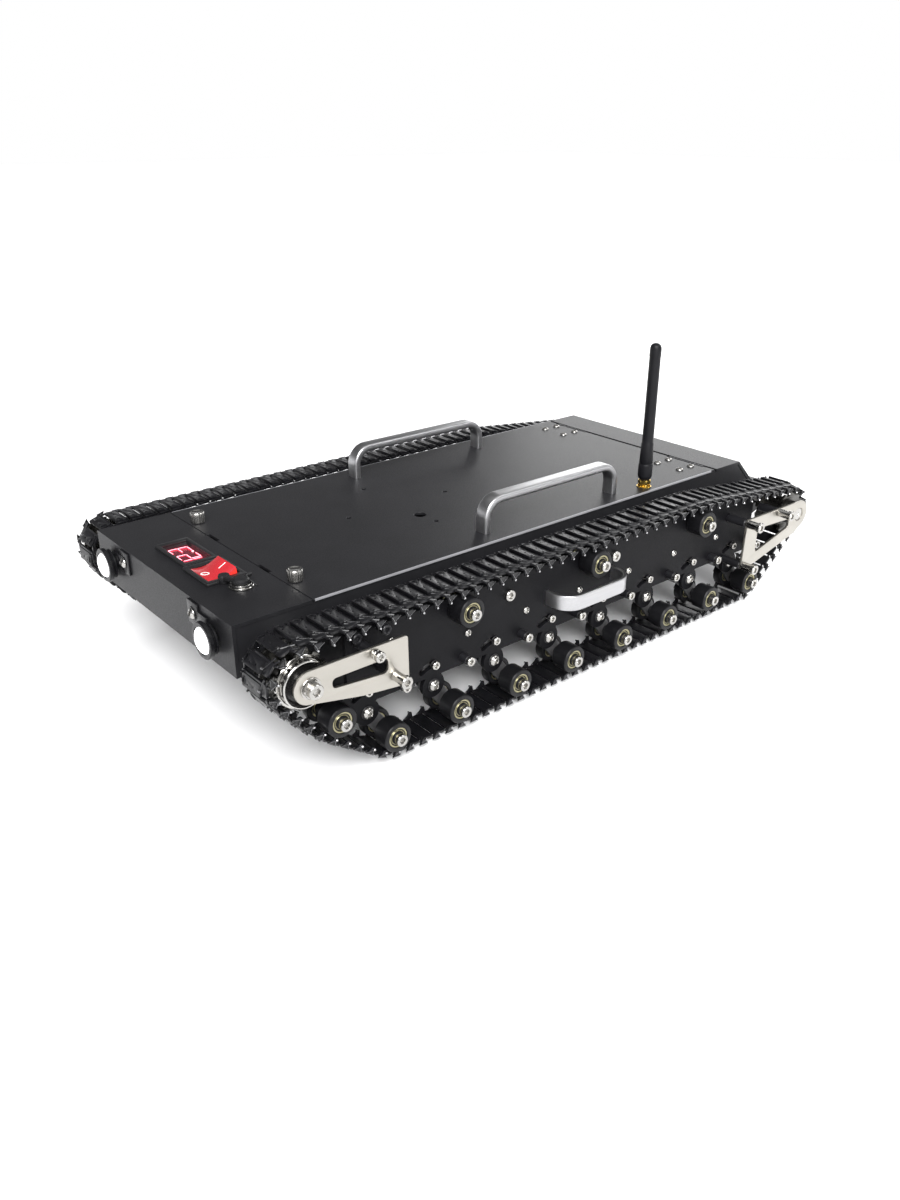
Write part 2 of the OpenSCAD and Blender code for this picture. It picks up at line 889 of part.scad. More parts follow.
// ---- Suspension arms ----
module arm(i, side) {
    axle = [axle_dx, axle_dz];
    color("#3a3c40")
        on_side(side)
            at(pivot(i)) {
                side_extrude(arm_y, arm_y + arm_t)
                    difference() {
                        union() {
                            circle(r = 7);
                            stadium([0, 0], axle, 5);
                            stadium([0, 0], [0, tail_r], 4);
                        }
                        circle(r = shaft_r + run_gap);
                    }
                at([0, tail_r]) {
                    bar(2, arm_y + arm_t - eps, face_y + 1.4, 24);
                    translate([0, face_y + 0.5, 0])
                        socket_head(2.8, 0, 2.8);
                }
                at(axle) {
                    bar(shaft_r, inner_y - 1, outer_y + outer_w + 0.5);
                    translate([0, outer_y + outer_w + 0.5 - eps, 0])
                        socket_head(3.7, 0, 3.5);
                    bar(4.5, inner_y - 3, inner_y - 0.6);
                }
            }
}

hull_tub();
deck_covers();
side_plates();
axle_plates();
tracks();
chassis_fasteners();
suspension_springs();
side_handles();
headlamps();
control_panel();
drive_pack();
lid();
lid_handles();
lid_fittings();
antenna();
rocker();
for (s = ["left", "right"]) {
    sprocket(s);
    idler(s);
    roller_pair([guide_x, guide_z], s);
    for (i = [1:3])
        roller_pair(carrier(i), s);
    for (i = [1:stations]) {
        arm(i, s);
        roller_pair(pivot(i) + [axle_dx, axle_dz], s);
    }
}
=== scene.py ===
import json
import math

import bmesh
import bpy
from mathutils import Matrix, Vector


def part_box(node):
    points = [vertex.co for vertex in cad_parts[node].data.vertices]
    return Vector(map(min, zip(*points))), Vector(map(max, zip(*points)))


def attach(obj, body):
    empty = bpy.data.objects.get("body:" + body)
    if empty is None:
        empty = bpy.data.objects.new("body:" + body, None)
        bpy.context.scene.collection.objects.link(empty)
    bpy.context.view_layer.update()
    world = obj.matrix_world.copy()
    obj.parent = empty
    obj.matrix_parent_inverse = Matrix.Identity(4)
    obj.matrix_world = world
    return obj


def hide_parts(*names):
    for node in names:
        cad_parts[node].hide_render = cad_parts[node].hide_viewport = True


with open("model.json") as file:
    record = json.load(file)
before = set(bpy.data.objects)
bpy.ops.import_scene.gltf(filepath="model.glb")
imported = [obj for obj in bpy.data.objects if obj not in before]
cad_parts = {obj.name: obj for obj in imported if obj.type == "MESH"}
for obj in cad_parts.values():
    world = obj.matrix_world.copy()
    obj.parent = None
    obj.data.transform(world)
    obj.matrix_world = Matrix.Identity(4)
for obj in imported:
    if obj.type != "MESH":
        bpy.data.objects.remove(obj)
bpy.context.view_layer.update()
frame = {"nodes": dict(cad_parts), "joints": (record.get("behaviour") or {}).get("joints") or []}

# A tracked robot chassis with its looks. Lengths are millimetres until a piece is made.
# +X is forward, +Y is the left side and +Z is up.
MM = 0.001
SIDES = {"left": 1, "right": -1}

# ---- Places, taken from the frame ----
joint_at = {j["name"]: Vector(j["pos_m"]) / MM for j in frame["joints"]}


def corners(node):
    low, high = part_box(node)
    return low / MM, high / MM


def spin_place(name):
    """Side-view place (x, z) of a wheel on the left side."""
    place = joint_at[name]
    return (place.x, place.z)


deck_high = corners("deck_covers")[1]
front_x, deck_z = deck_high.x, deck_high.z
lid_low, lid_high = corners("lid")
LID_GAP = 0.6
seam_x = lid_high.x + LID_GAP
hinge = joint_at["lid_hinge"]
HINGE_Y = (-60, 60)
stations = range(1, 9)
pivots = [spin_place(f"arm_left_{i}_swing") for i in stations]
wheels = [spin_place(f"rollers_left_{i}_spin") for i in stations]
carriers = [spin_place(f"carrier_left_{i}_spin") for i in (1, 2, 3)]
guide = spin_place("guide_roller_left_spin")
idler = spin_place("idler_left_spin")
sprocket = spin_place("sprocket_left_spin")
face_y = corners("side_plates")[1].y
axle_face = corners("axle_plates")[1].y
# Sideways spans of the outer and inner rollers of a pair
outer_low, outer_high = 116.0, 128.0
inner_low, inner_high = 100.5, 107.5
ROLLER_R = 9.0
SHAFT_R = 3.05


def placed(name, data):
    """A new object in the scene."""
    thing = bpy.data.objects.new(name, data)
    bpy.context.scene.collection.objects.link(thing)
    return thing


def aimed(name, data, place, towards):
    """A camera or light at a place, in metres, that looks along a direction."""
    thing = placed(name, data)
    thing.location = place
    thing.rotation_mode = "QUATERNION"
    thing.rotation_quaternion = Vector(towards).to_track_quat("-Z", "Y")
    return thing


# ---- Materials ----
def noise(tree, vector, scale, detail=2.0):
    node = tree.nodes.new("ShaderNodeTexNoise")
    node.inputs["Scale"].default_value = scale
    node.inputs["Detail"].default_value = detail
    tree.links.new(vector, node.inputs["Vector"])
    return node.outputs["Fac"]


def spread(tree, value, low, high, start=0.3, stop=0.7):
    """Maps a noise value from start..stop to low..high."""
    node = tree.nodes.new("ShaderNodeMapRange")
    for label, number in (("From Min", start), ("From Max", stop), ("To Min", low), ("To Max", high)):
        node.inputs[label].default_value = number
    tree.links.new(value, node.inputs["Value"])
    return node.outputs["Result"]


def mixed(tree, share, first, second):
    """A colour between two, which may be colours or sockets."""
    node = tree.nodes.new("ShaderNodeMix")
    node.data_type = "RGBA"
    tree.links.new(share, node.inputs["Factor"])
    for label, colour in (("A", first), ("B", second)):
        socket = [s for s in node.inputs if s.name == label and s.type == "RGBA"][0]
        if isinstance(colour, tuple):
            socket.default_value = (*colour, 1)
        else:
            tree.links.new(colour, socket)
    return [s for s in node.outputs if s.type == "RGBA"][0]


def finish(name, colour, rough, metal=0.0, mottle=0.15, cloud=45, grain=1500, relief=0.1,
           stretch=(1, 1, 1), coat=0.0, shine=0.5, wear=None, scuffs=(0.62, 0.7), glow=None):
    """A procedural finish: clouds of colour, grain in roughness and height, and spots of wear."""
    material = bpy.data.materials.new(name)
    material.use_nodes = True
    tree = material.node_tree
    body = tree.nodes["Principled BSDF"]
    body.inputs["Metallic"].default_value = metal
    body.inputs["Coat Weight"].default_value = coat
    body.inputs["Specular IOR Level"].default_value = shine
    place = tree.nodes.new("ShaderNodeTexCoord")
    size = tree.nodes.new("ShaderNodeMapping")
    size.inputs["Scale"].default_value = stretch
    tree.links.new(place.outputs["Object"], size.inputs["Vector"])
    vector = size.outputs["Vector"]
    clouds = noise(tree, vector, cloud, 4)
    fine = noise(tree, vector, grain, 3)
    darker = tuple(c * (1 - mottle) for c in colour)
    lighter = tuple(min(1, c * (1 + mottle)) for c in colour)
    shade = mixed(tree, spread(tree, clouds, 0, 1), darker, lighter)
    roughness = spread(tree, fine, rough * 0.82, min(1, rough * 1.18))
    if wear:
        spots = spread(tree, noise(tree, place.outputs["Object"], 700, 5), 0, 1, *scuffs)
        shade = mixed(tree, spots, shade, wear)
    tree.links.new(shade, body.inputs["Base Color"])
    tree.links.new(roughness, body.inputs["Roughness"])
    bump = tree.nodes.new("ShaderNodeBump")
    bump.inputs["Strength"].default_value = relief
    bump.inputs["Distance"].default_value = 0.0003
    tree.links.new(fine, bump.inputs["Height"])
    tree.links.new(bump.outputs["Normal"], body.inputs["Normal"])
    if glow:
        body.inputs["Emission Color"].default_value = (*glow[0], 1)
        body.inputs["Emission Strength"].default_value = glow[1]
    return material


ACROSS_X = (1, 30, 30)
black_sheet = finish("black_sheet", (0.0115, 0.0115, 0.013), 0.42, mottle=0.12, relief=0.12, shine=0.25)
black_plate = finish("black_plate", (0.005, 0.005, 0.006), 0.45, shine=0.1)
# Light grey for thin strips along the lid's long edges: a painted highlight where the edge catches the
# light.
painted_edge_highlight = finish("painted_edge_highlight", (0.26, 0.26, 0.275), 0.4, mottle=0.12, cloud=40, relief=0.08)
nickel = finish("nickel", (0.46, 0.44, 0.40), 0.36, metal=1, mottle=0.05, cloud=25, grain=2200,
                relief=0.06)
track_black = finish("track_black", (0.005, 0.005, 0.0062), 0.34, mottle=0.35, cloud=160,
                     relief=0.3, shine=0.45, wear=(0.012, 0.012, 0.0135))
# Lighter metal for the knuckle and the V-shaped ear edges of each link: painted highlight for the glints
# on those edges, partly bare worn steel.
track_glint_and_wear = finish("track_glint_and_wear", (0.2, 0.2, 0.205), 0.25, metal=1, mottle=0.3, cloud=500, relief=0.2)
pin_steel = finish("pin_steel", (0.5, 0.5, 0.51), 0.22, metal=1, mottle=0.1)
bolt_steel = finish("bolt_steel", (0.46, 0.45, 0.43), 0.22, metal=1, mottle=0.08, grain=2500, relief=0.05)
bolt_black = finish("bolt_black", (0.012, 0.012, 0.014), 0.35, metal=0.2, mottle=0.2, relief=0.15)
spacer_chrome = finish("spacer_chrome", (0.50, 0.49, 0.47), 0.14, metal=1, mottle=0.05, relief=0.04)
gear_steel = finish("gear_steel", (0.10, 0.098, 0.092), 0.3, metal=1, mottle=0.22, cloud=120, relief=0.15)
cup_dark = finish("cup_dark", (0.02, 0.019, 0.019), 0.25, metal=0.4, mottle=0.3, cloud=120)
roller_black = finish("roller_black", (0.006, 0.006, 0.007), 0.4, mottle=0.2, cloud=90, relief=0.12,
                      shine=0.25)
brass_ring = finish("brass_ring", (0.42, 0.39, 0.24), 0.32, metal=1)
handle_metal = finish("handle_metal", (0.50, 0.50, 0.51), 0.34, metal=1, mottle=0.05, grain=900,
                      stretch=ACROSS_X)
lamp_shell = finish("lamp_shell", (0.005, 0.005, 0.006), 0.3, mottle=0.2, shine=0.35)
lamp_light = finish("lamp_light", (0.9, 0.9, 0.92), 0.1, mottle=0.05, cloud=200, relief=0.05,
                    glow=((1.0, 0.99, 1.0), 2.5))
panel_black = finish("panel_black", (0.010, 0.010, 0.011), 0.38)
meter_face = finish("meter_face", (0.05, 0.016, 0.022), 0.25, mottle=0.3, cloud=300, relief=0.02,
                    glow=((0.35, 0.01, 0.03), 0.25))
digit_red = finish("digit_red", (0.9, 0.08, 0.12), 0.3, mottle=0.1, cloud=300, relief=0.02,
                   glow=((1.0, 0.03, 0.07), 1.5))
digit_core = finish("digit_core", (1.0, 0.6, 0.65), 0.3, mottle=0.05, cloud=300, relief=0.02,
                    glow=((1.0, 0.30, 0.38), 1.8))
rocker_red = finish("rocker_red", (0.42, 0.022, 0.03), 0.24, mottle=0.12, cloud=120, relief=0.04,
                    coat=0.4, glow=((0.9, 0.03, 0.03), 0.12))
rocker_glow = finish("rocker_glow", (0.8, 0.03, 0.025), 0.2, cloud=120, relief=0.04,
                     coat=0.4, glow=((1.0, 0.04, 0.02), 0.5))
mark_white = finish("mark_white", (0.85, 0.83, 0.82), 0.4, mottle=0.05, relief=0.05)
rubber = finish("rubber", (0.007, 0.007, 0.008), 0.5, mottle=0.25, cloud=120, relief=0.25, shine=0.35)
gold = finish("gold", (0.60, 0.42, 0.11), 0.22, metal=1, mottle=0.1, cloud=200, relief=0.06)
antenna_black = finish("antenna_black", (0.006, 0.006, 0.0075), 0.42, mottle=0.2, cloud=90, relief=0.12,
                       shine=0.2)
arm_metal = finish("arm_metal", (0.20, 0.20, 0.205), 0.45, metal=0.8, mottle=0.3, cloud=140, relief=0.5)
spring_steel = finish("spring_steel", (0.40, 0.40, 0.41), 0.3, metal=1, relief=0.2)
motor_can = finish("motor_can", (0.45, 0.45, 0.46), 0.32, metal=1, mottle=0.1,
                   stretch=(30, 1, 30))
cell_wrap = finish("cell_wrap", (0.02, 0.07, 0.26), 0.25, mottle=0.1, cloud=60, coat=0.3)
board_green = finish("board_green", (0.012, 0.10, 0.035), 0.3, mottle=0.25, cloud=300, relief=0.2,
                     coat=0.3)
part_grey = finish("part_grey", (0.05, 0.05, 0.055), 0.4, mottle=0.2)


# ---- Shapes: each is (points, faces), closed ----
UPRIGHT = Matrix.Identity(4)
OUTWARD = Matrix.Rotation(math.radians(-90), 4, "X")
AHEAD = Matrix.Rotation(math.radians(90), 4, "Y")
STANDING = Matrix.Rotation(math.radians(90), 4, "X")


def span(side, near, far):
    """Two sideways places on a side, the lower first."""
    return sorted((side * near, side * far))


def polar(place, radius, angle):
    """The point at an angle and a distance from a place."""
    return (place[0] + radius * math.cos(angle), place[1] + radius * math.sin(angle))


def hexagon(angle):
    """Share of the corner radius that a hexagon reaches at an angle."""
    step = math.pi / 3
    return math.cos(step / 2) / math.cos(angle % step - step / 2)


def lathe(profile, steps=48):
    """Turns (radius, height) points about Z. A third entry shapes that ring by angle."""
    points, faces, rings = [], [], []
    for radius, height, *form in profile:
        count = steps if radius > 1e-6 else 1
        rings.append([len(points) + k for k in range(count)])
        for k in range(count):
            angle = 2 * math.pi * k / steps
            r = radius * (form[0](angle) if form else 1)
            points.append((r * math.cos(angle), r * math.sin(angle), height))
    pairs = list(zip(rings, rings[1:]))
    if profile[0][0] > 1e-6:
        pairs.append((rings[-1], rings[0]))
    for a, b in pairs:
        for k in range(steps):
            j = (k + 1) % steps
            quad = (a[k % len(a)], a[j % len(a)], b[j % len(b)], b[k % len(b)])
            face = list(dict.fromkeys(quad))
            if len(face) > 2:
                faces.append(face)
    return points, faces


def bar(radius, start, stop, chamfer=0.2, steps=32):
    return lathe([(0, start), (radius - chamfer, start), (radius, start + chamfer),
                  (radius, stop - chamfer), (radius - chamfer, stop), (0, stop)], steps)


def ring(inner, outer, start, stop, chamfer=0.15, steps=48):
    c = chamfer
    return lathe([(inner + c, start), (outer - c, start), (outer, start + c), (outer, stop - c),
                  (outer - c, stop), (inner + c, stop), (inner, stop - c), (inner, start + c)], steps)


def nut(across, start, stop, soft=0.3):
    """A closed hexagonal block with its first edge turned down."""
    return lathe([(0, start), (across - soft, start, hexagon), (across, start + soft, hexagon),
                  (across, stop, hexagon), (0, stop)])


def socket_head(radius, start, height):
    """Cap screw head with a hexagon socket, standing on start."""
    top, key = start + height, radius * 0.56
    return lathe([(0, start), (radius - 0.15, start), (radius, start + 0.2), (radius, top - 0.35),
                  (radius - 0.35, top), (key + 0.25, top), (key, top - 0.25, hexagon),
                  (key, top - height * 0.55, hexagon), (0, top - height * 0.7)])


def button_head(radius, start, height):
    """Domed screw head with a hexagon socket."""
    top, key = start + height, radius * 0.42
    dome = [(radius * math.cos(a), start + 0.3 + (height - 0.3) * math.sin(a))
            for a in (math.radians(d) for d in (0, 15, 30, 45, 58))]
    return lathe([(0, start), (radius, start), *dome, (key + 0.15, top), (key, top - 0.2, hexagon),
                  (key, top - height * 0.6, hexagon), (0, top - height * 0.7)])


def shape_of(bm):
    bm.verts.index_update()
    shape = ([v.co.copy() for v in bm.verts], [[v.index for v in f.verts] for f in bm.faces])
    bm.free()
    return shape


def block(low, high, soft=0.3, segments=2):
    """A box with rounded edges."""
    low, high = Vector(low), Vector(high)
    bm = bmesh.new()
    bmesh.ops.create_cube(bm, size=1)
    for v in bm.verts:
        v.co = Vector([(a + b) / 2 + c * (b - a) for a, b, c in zip(low, high, v.co)])
    if soft:
        bmesh.ops.bevel(bm, geom=bm.edges[:], offset=soft, segments=segments, profile=0.5,
                        affect="EDGES")
    return shape_of(bm)


def plate(loops, start, stop, soft=0.2):
    """A plate in the XY plane from start to stop: its outline, then its holes, with soft edges."""
    curve = bpy.data.curves.new("outline", "CURVE")
    curve.dimensions = "2D"
    curve.fill_mode = "BOTH"
    curve.extrude = (stop - start) / 2 - soft
    curve.bevel_depth = soft
    curve.bevel_resolution = 1
    curve.offset = -soft
    for number, loop in enumerate(loops):
        area = sum(a[0] * b[1] - b[0] * a[1] for a, b in zip(loop, loop[1:] + loop[:1]))
        if (area > 0) == (number == 0):
            loop = loop[::-1]
        spline = curve.splines.new("POLY")
        spline.points.add(len(loop) - 1)
        for point, place in zip(spline.points, loop):
            point.co = (place[0], place[1], 0, 1)
        spline.use_cyclic_u = True
    holder = bpy.data.objects.new("outline", curve)
    mesh = bpy.data.meshes.new_from_object(holder)
    bm = bmesh.new()
    bm.from_mesh(mesh)
    bmesh.ops.remove_doubles(bm, verts=bm.verts, dist=0.001)
    bmesh.ops.translate(bm, verts=bm.verts, vec=(0, 0, (start + stop) / 2))
    bpy.data.objects.remove(holder)
    bpy.data.curves.remove(curve)
    bpy.data.meshes.remove(mesh)
    return shape_of(bm)


def prism(outline, start, stop):
    """Straight extrusion of a convex outline in the XY plane."""
    n = len(outline)
    points = [(x, y, h) for h in (start, stop) for x, y in outline]
    faces = [list(range(n))[::-1], [n + k for k in range(n)]]
    faces += [[k, (k + 1) % n, n + (k + 1) % n, n + k] for k in range(n)]
    return points, faces


def arc(centre, arm, turn, steps):
    """Points that an arm from a centre passes as it turns."""
    places = [Matrix.Rotation(turn * k / steps, 2) @ arm + centre for k in range(steps + 1)]
    return [(place.x, place.y) for place in places]


def rounded(corners_list, radius=1.0, steps=4):
    """An outline with its corners turned into arcs. A corner may carry its own radius."""
    outline = []
    n = len(corners_list)
    for k in range(n):
        here = Vector(corners_list[k][:2])
        own = corners_list[k][2] if len(corners_list[k]) > 2 else radius
        before = (Vector(corners_list[k - 1][:2]) - here).normalized()
        after = (Vector(corners_list[(k + 1) % n][:2]) - here).normalized()
        half = before.angle(after) / 2
        if own <= 0 or half > math.radians(85):
            outline.append(tuple(here))
            continue
        reach = own / math.tan(half)
        centre = here + (before + after).normalized() * own / math.sin(half)
        a, b = here + before * reach - centre, here + after * reach - centre
        turn = math.atan2(a.x * b.y - a.y * b.x, a.dot(b))
        outline += arc(centre, a, turn, steps)
    return outline


def box_loop(low, high, soft, steps=2):
    """A rectangle with rounded corners."""
    return rounded([low, (high[0], low[1]), high, (low[0], high[1])], soft, steps)


def circle(x, y, radius, steps=24):
    return [polar((x, y), radius, 2 * math.pi * k / steps) for k in range(steps)]


def oval(x, y, half_x, half_y, steps=12):
    return [(x + half_x * math.cos(2 * math.pi * k / steps),
             y + half_y * math.sin(2 * math.pi * k / steps)) for k in range(steps)]


def rod(a, b, radius, steps=8):
    """A round rod between two points, with rounded ends."""
    a, b = Vector(a), Vector(b)
    length = (b - a).length
    points, faces = lathe([(0, 0), (radius * 0.7, 0.1 * radius), (radius, 0.5 * radius),
                           (radius, length - 0.5 * radius), (radius * 0.7, length - 0.1 * radius),
                           (0, length)], steps)
    turn = Vector((0, 0, 1)).rotation_difference(b - a).to_matrix()
    return [a + turn @ Vector(p) for p in points], faces


def sweep(path, section, across):
    """Carries a section (along across, along the normal) over a path, with flat ends."""
    points, faces, n = [], [], len(section)
    across = Vector(across)
    for k, place in enumerate(path):
        ahead = Vector(path[min(k + 1, len(path) - 1)]) - Vector(path[max(k - 1, 0)])
        normal = across.cross(ahead.normalized())
        points += [Vector(place) + across * u + normal * v for u, v in section]
    for k in range(len(path) - 1):
        for j in range(n):
            i = (j + 1) % n
            faces.append([k * n + j, k * n + i, (k + 1) * n + i, (k + 1) * n + j])
    faces += [list(range(n)), [(len(path) - 1) * n + j for j in range(n)][::-1]]
    return points, faces


class Solid:
    """Closed shapes, in millimetres, that become one piece with several materials."""

    def __init__(self):
        self.points, self.faces, self.paint, self.materials = [], [], [], []

    def add(self, shape, material, at=(0, 0, 0), turn=UPRIGHT):
        if material not in self.materials:
            self.materials.append(material)
        points, faces = shape
        move = Matrix.Translation(at) @ turn
        start = len(self.points)
        self.points += [move @ Vector(p) for p in points]
        self.faces += [[start + k for k in face] for face in faces]
        self.paint += [self.materials.index(material)] * len(faces)
        return self

    def outward(self, shape, material, place):
        """Adds a turned shape whose axis runs sideways through the side-view place (x, z)."""
        return self.add(shape, material, (place[0], 0, place[1]), OUTWARD)

    def standing(self, loops, start, stop, material, soft=0.2):
        """Adds a side-view plate between two sideways places."""
        return self.add(plate(loops, -stop, -start, soft), material, turn=STANDING)

    def mesh(self, name, side=1, sharp=32):
        mesh = bpy.data.meshes.new(name)
        mesh.from_pydata([(p.x * MM, p.y * MM * side, p.z * MM) for p in self.points], [], self.faces)
        for material in self.materials:
            mesh.materials.append(material)
        mesh.polygons.foreach_set("material_index", self.paint)
        bm = bmesh.new()
        bm.from_mesh(mesh)
        bmesh.ops.recalc_face_normals(bm, faces=bm.faces)
        bm.to_mesh(mesh)
        bm.free()
        mesh.shade_smooth()
        mesh.set_sharp_from_angle(angle=math.radians(sharp))
        return mesh

    def piece(self, name, body, slot, stands_for, side=1, sharp=32):
        """Makes the piece that takes the place of a CAD node on its body."""
        piece = placed(name, self.mesh(name, side, sharp))
        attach(piece, body)
        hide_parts(stands_for)


# ---- Camera ----
def make_camera():
    data = bpy.data.cameras.new("camera")
    data.sensor_width = 36
    data.lens = 29.98
    bpy.context.scene.camera = aimed("camera", data, (0.4361, 0.5082, 0.3265),
                                     (-0.5766, -0.6943, -0.4307))


# ---- Floor, sky and lights ----
def make_stage():
    mesh = bpy.data.meshes.new("floor")
    mesh.from_pydata([(-9, -9, 0), (9, -9, 0), (9, 9, 0), (-9, 9, 0)], [], [(0, 1, 2, 3)])
    mesh.materials.append(finish("floor_pale", (0.93, 0.93, 0.935), 0.9, mottle=0.01, cloud=2,
                                 grain=60, relief=0.0, shine=0.0))
    floor = placed("floor", mesh)
    floor.location.z = -0.0004

    world = bpy.data.worlds.new("studio")
    bpy.context.scene.world = world
    world.use_nodes = True
    tree = world.node_tree
    place = tree.nodes.new("ShaderNodeTexCoord")
    split = tree.nodes.new("ShaderNodeSeparateXYZ")
    tree.links.new(place.outputs["Generated"], split.inputs["Vector"])
    ramp = tree.nodes.new("ShaderNodeValToRGB")
    stops = ((0.0, 1.0), (0.105, 1.0), (0.19, 0.22), (0.42, 0.10), (0.75, 0.06), (1.0, 0.06))
    band = ramp.color_ramp
    for number, (height, light) in enumerate(stops):
        stop = band.elements[number] if number < 2 else band.elements.new(height)
        stop.position = height
        stop.color = (light, light, light * 1.02, 1)
    tree.links.new(split.outputs["Z"], ramp.inputs["Fac"])
    seen = tree.nodes.new("ShaderNodeLightPath").outputs["Is Camera Ray"]
    backdrop = mixed(tree, seen, ramp.outputs["Color"], (1.0, 1.0, 1.0))
    tree.links.new(backdrop, tree.nodes["Background"].inputs["Color"])
    tree.nodes["Background"].inputs["Strength"].default_value = 1.0


def sun(name, strength, spread_deg, towards):
    """A distant light, softened by its spread."""
    data = bpy.data.lights.new(name, "SUN")
    data.energy = strength
    data.angle = math.radians(spread_deg)
    aimed(name, data, (0, 0, 0), towards)


def softbox(name, watts, size, place):
    """A rectangular light that faces the chassis."""
    data = bpy.data.lights.new(name, "AREA")
    data.shape = "RECTANGLE"
    data.size, data.size_y = size
    data.energy = watts
    aimed(name, data, place, Vector((0, 0, 0.05)) - Vector(place))


def make_lights():
    sun("key", 5.0, 40, (-0.55, -0.66, -0.85))
    sun("overhead", 0.6, 80, (0.0, 0.0, -1))
    softbox("rear_window", 7, (1.2, 0.5), (-1.3, -0.55, 0.55))
    softbox("edge_light", 7, (1.4, 0.35), (-0.95, 0.85, 1.25))
    softbox("left_fill", 8, (1.0, 0.6), (0.5, 1.5, 0.7))


make_camera()
make_stage()
make_lights()

# ---- Tracks ----
LINK_COUNT = 103
LINK_Y = 111.5
LINK_HALF = 14.5
PIN_LINE = 10.35
TOOTH_LINE = 15.5
circles = [(*sprocket, TOOTH_LINE), (*carriers[2], PIN_LINE), (*carriers[0], PIN_LINE),
           (*idler, TOOTH_LINE), (*guide, PIN_LINE), (*wheels[0], PIN_LINE), (*wheels[-1], PIN_LINE)]


def on_circle(ring_index, angle):
    x, z, radius = circles[ring_index % len(circles)]
    return Vector(polar((x, z), radius, angle))


def run_angle(index):
    """Angle of the outward normal on the straight run from one circle to the next."""
    x0, z0, r0 = circles[index]
    x1, z1, r1 = circles[(index + 1) % len(circles)]
    far = math.hypot(x1 - x0, z1 - z0)
    return math.atan2(z1 - z0, x1 - x0) + math.pi / 2 + math.asin((r1 - r0) / far)


def pin_places(count):
    """Pins at equal steps along the loop, going clockwise."""
    angles = [run_angle(k) for k in range(len(circles))]
    legs = []
    for k, angle in enumerate(angles):
        start, stop = on_circle(k, angle), on_circle(k + 1, angle)
        turn = (angle - angles[(k + 1) % len(angles)]) % (2 * math.pi)
        radius = circles[(k + 1) % len(circles)][2]
        legs.append((k, start, stop, (stop - start).length, angle, turn * radius, radius))
    total = sum(leg[3] + leg[5] for leg in legs)
    places = []
    for number in range(count):
        way = total * number / count
        for k, start, stop, straight, angle, arc, radius in legs:
            if way < straight:
                places.append(start.lerp(stop, way / straight))
                break
            if way < straight + arc:
                places.append(on_circle(k + 1, angle - (way - straight) / radius))
                break
            way -= straight + arc
    return places, total / count


def risen(shape, start, slope):
    """Tilts a flat shape so that it rises towards the next pin."""
    points, faces = shape
    return [Vector((p[0], p[1], p[2] + (p[0] - start) * slope)) for p in points], faces


def track_link(pitch):
    """One link about its pin: X runs to the next pin, Y across (outward is +) and Z outward."""
    link = Solid()
    tip, half = pitch - 0.5, LINK_HALF
    inner, outer = -12.4, 5.2
    base = [box_loop((0.5, inner - 1.2), (tip - 0.6, outer + 4.6), 0.7), circle(0.95, -8.5, 0.4, 8),
            box_loop((0.8, -11.2), (1.3, -9.6), 0.2)]
    link.add(plate(base, 3.0, 4.5, 0.12), track_black)
    pad = [box_loop((1.9, inner), (tip, outer), 0.6), oval(5.8, -10.7, 2.1, 1.2, 14),
           circle(6.2, -1.4, 0.55, 10), box_loop((6.7, -7.6), (7.3, -6.2), 0.25)]
    link.add(risen(plate(pad, 3.6, 5.0, 0.12), 1.9, 0.165), track_black)
    frame_edge = [oval(5.8, -10.7, 2.5, 1.55, 14), oval(5.8, -10.7, 2.1, 1.2, 14)]
    link.add(risen(plate(frame_edge, 4.9, 5.35, 0.08), 1.9, 0.165), track_black)
    link.add(prism([(1.3, 4.3), (2.4, 4.3), (1.9, 6.0), (1.5, 6.0)], 11.6, 12.7), track_black,
             turn=STANDING)
    # Lighter knuckle at the pad's outer end: painted highlight, partly worn steel.
    link.add(block((5.0, outer - 1.6, 4.6), (6.6, outer + 0.4, 6.1), 0.35), track_glint_and_wear)
    for reach, drop, spread_out in ((4.6, 0.0, 8.4), (5.6, 0.6, 11.6)):
        link.add(rod((6.9, reach - 0.6, 4.9 - drop), (-2.0, spread_out, 3.6 - drop), 0.72), track_black)
    for way, far in ((1, half), (-1, half - 0.2)):
        low, high = span(way, far - 1.7, far - 0.6)
        link.add(prism([(-3.6, 3.3), (-0.8, -0.8), (0.8, -0.8), (1.6, 3.5)], -high, -low), track_black,
                 turn=STANDING)
        link.add(rod((1.0, way * (far - 1.4), 3.2), (3.0, way * 6.4, 3.6), 0.7), track_black)
        low, high = span(way, far - 0.65, far - 0.15)
        # Thin lighter bars along the ear edges: painted highlight for the glints on them, partly worn
        # steel.
        for top, lift in ((1.2, 3.6), (-4.2, 3.2)):
            lean = 0.35 if top > 0 else -0.35
            link.add(prism([(-0.4, 0.7), (-0.4 + lean, 0.7), (top + lean, lift), (top, lift)],
                           -high, -low), track_glint_and_wear, turn=STANDING)
        link.add(rod((0, way * (half - 2.0), 0), (0, way * (half + 1.0), 0), 0.7), pin_steel)
    return link


def make_tracks():
    pins, pitch = pin_places(LINK_COUNT)
    link = track_link(pitch)
    loop = Solid()
    for here, there in zip(pins, pins[1:] + pins[:1]):
        slope = math.atan2(there.y - here.y, there.x - here.x)
        move = Matrix.Translation((here.x, LINK_Y, here.y)) @ Matrix.Rotation(-slope, 4, "Y")
        start = len(loop.points)
        loop.points += [move @ p for p in link.points]
        loop.faces += [[start + k for k in face] for face in link.faces]
        loop.paint += link.paint
    loop.materials = link.materials
    for name, side in SIDES.items():
        loop.piece(f"track_{name}", "chassis", "track_steel", "tracks", side)


make_tracks()


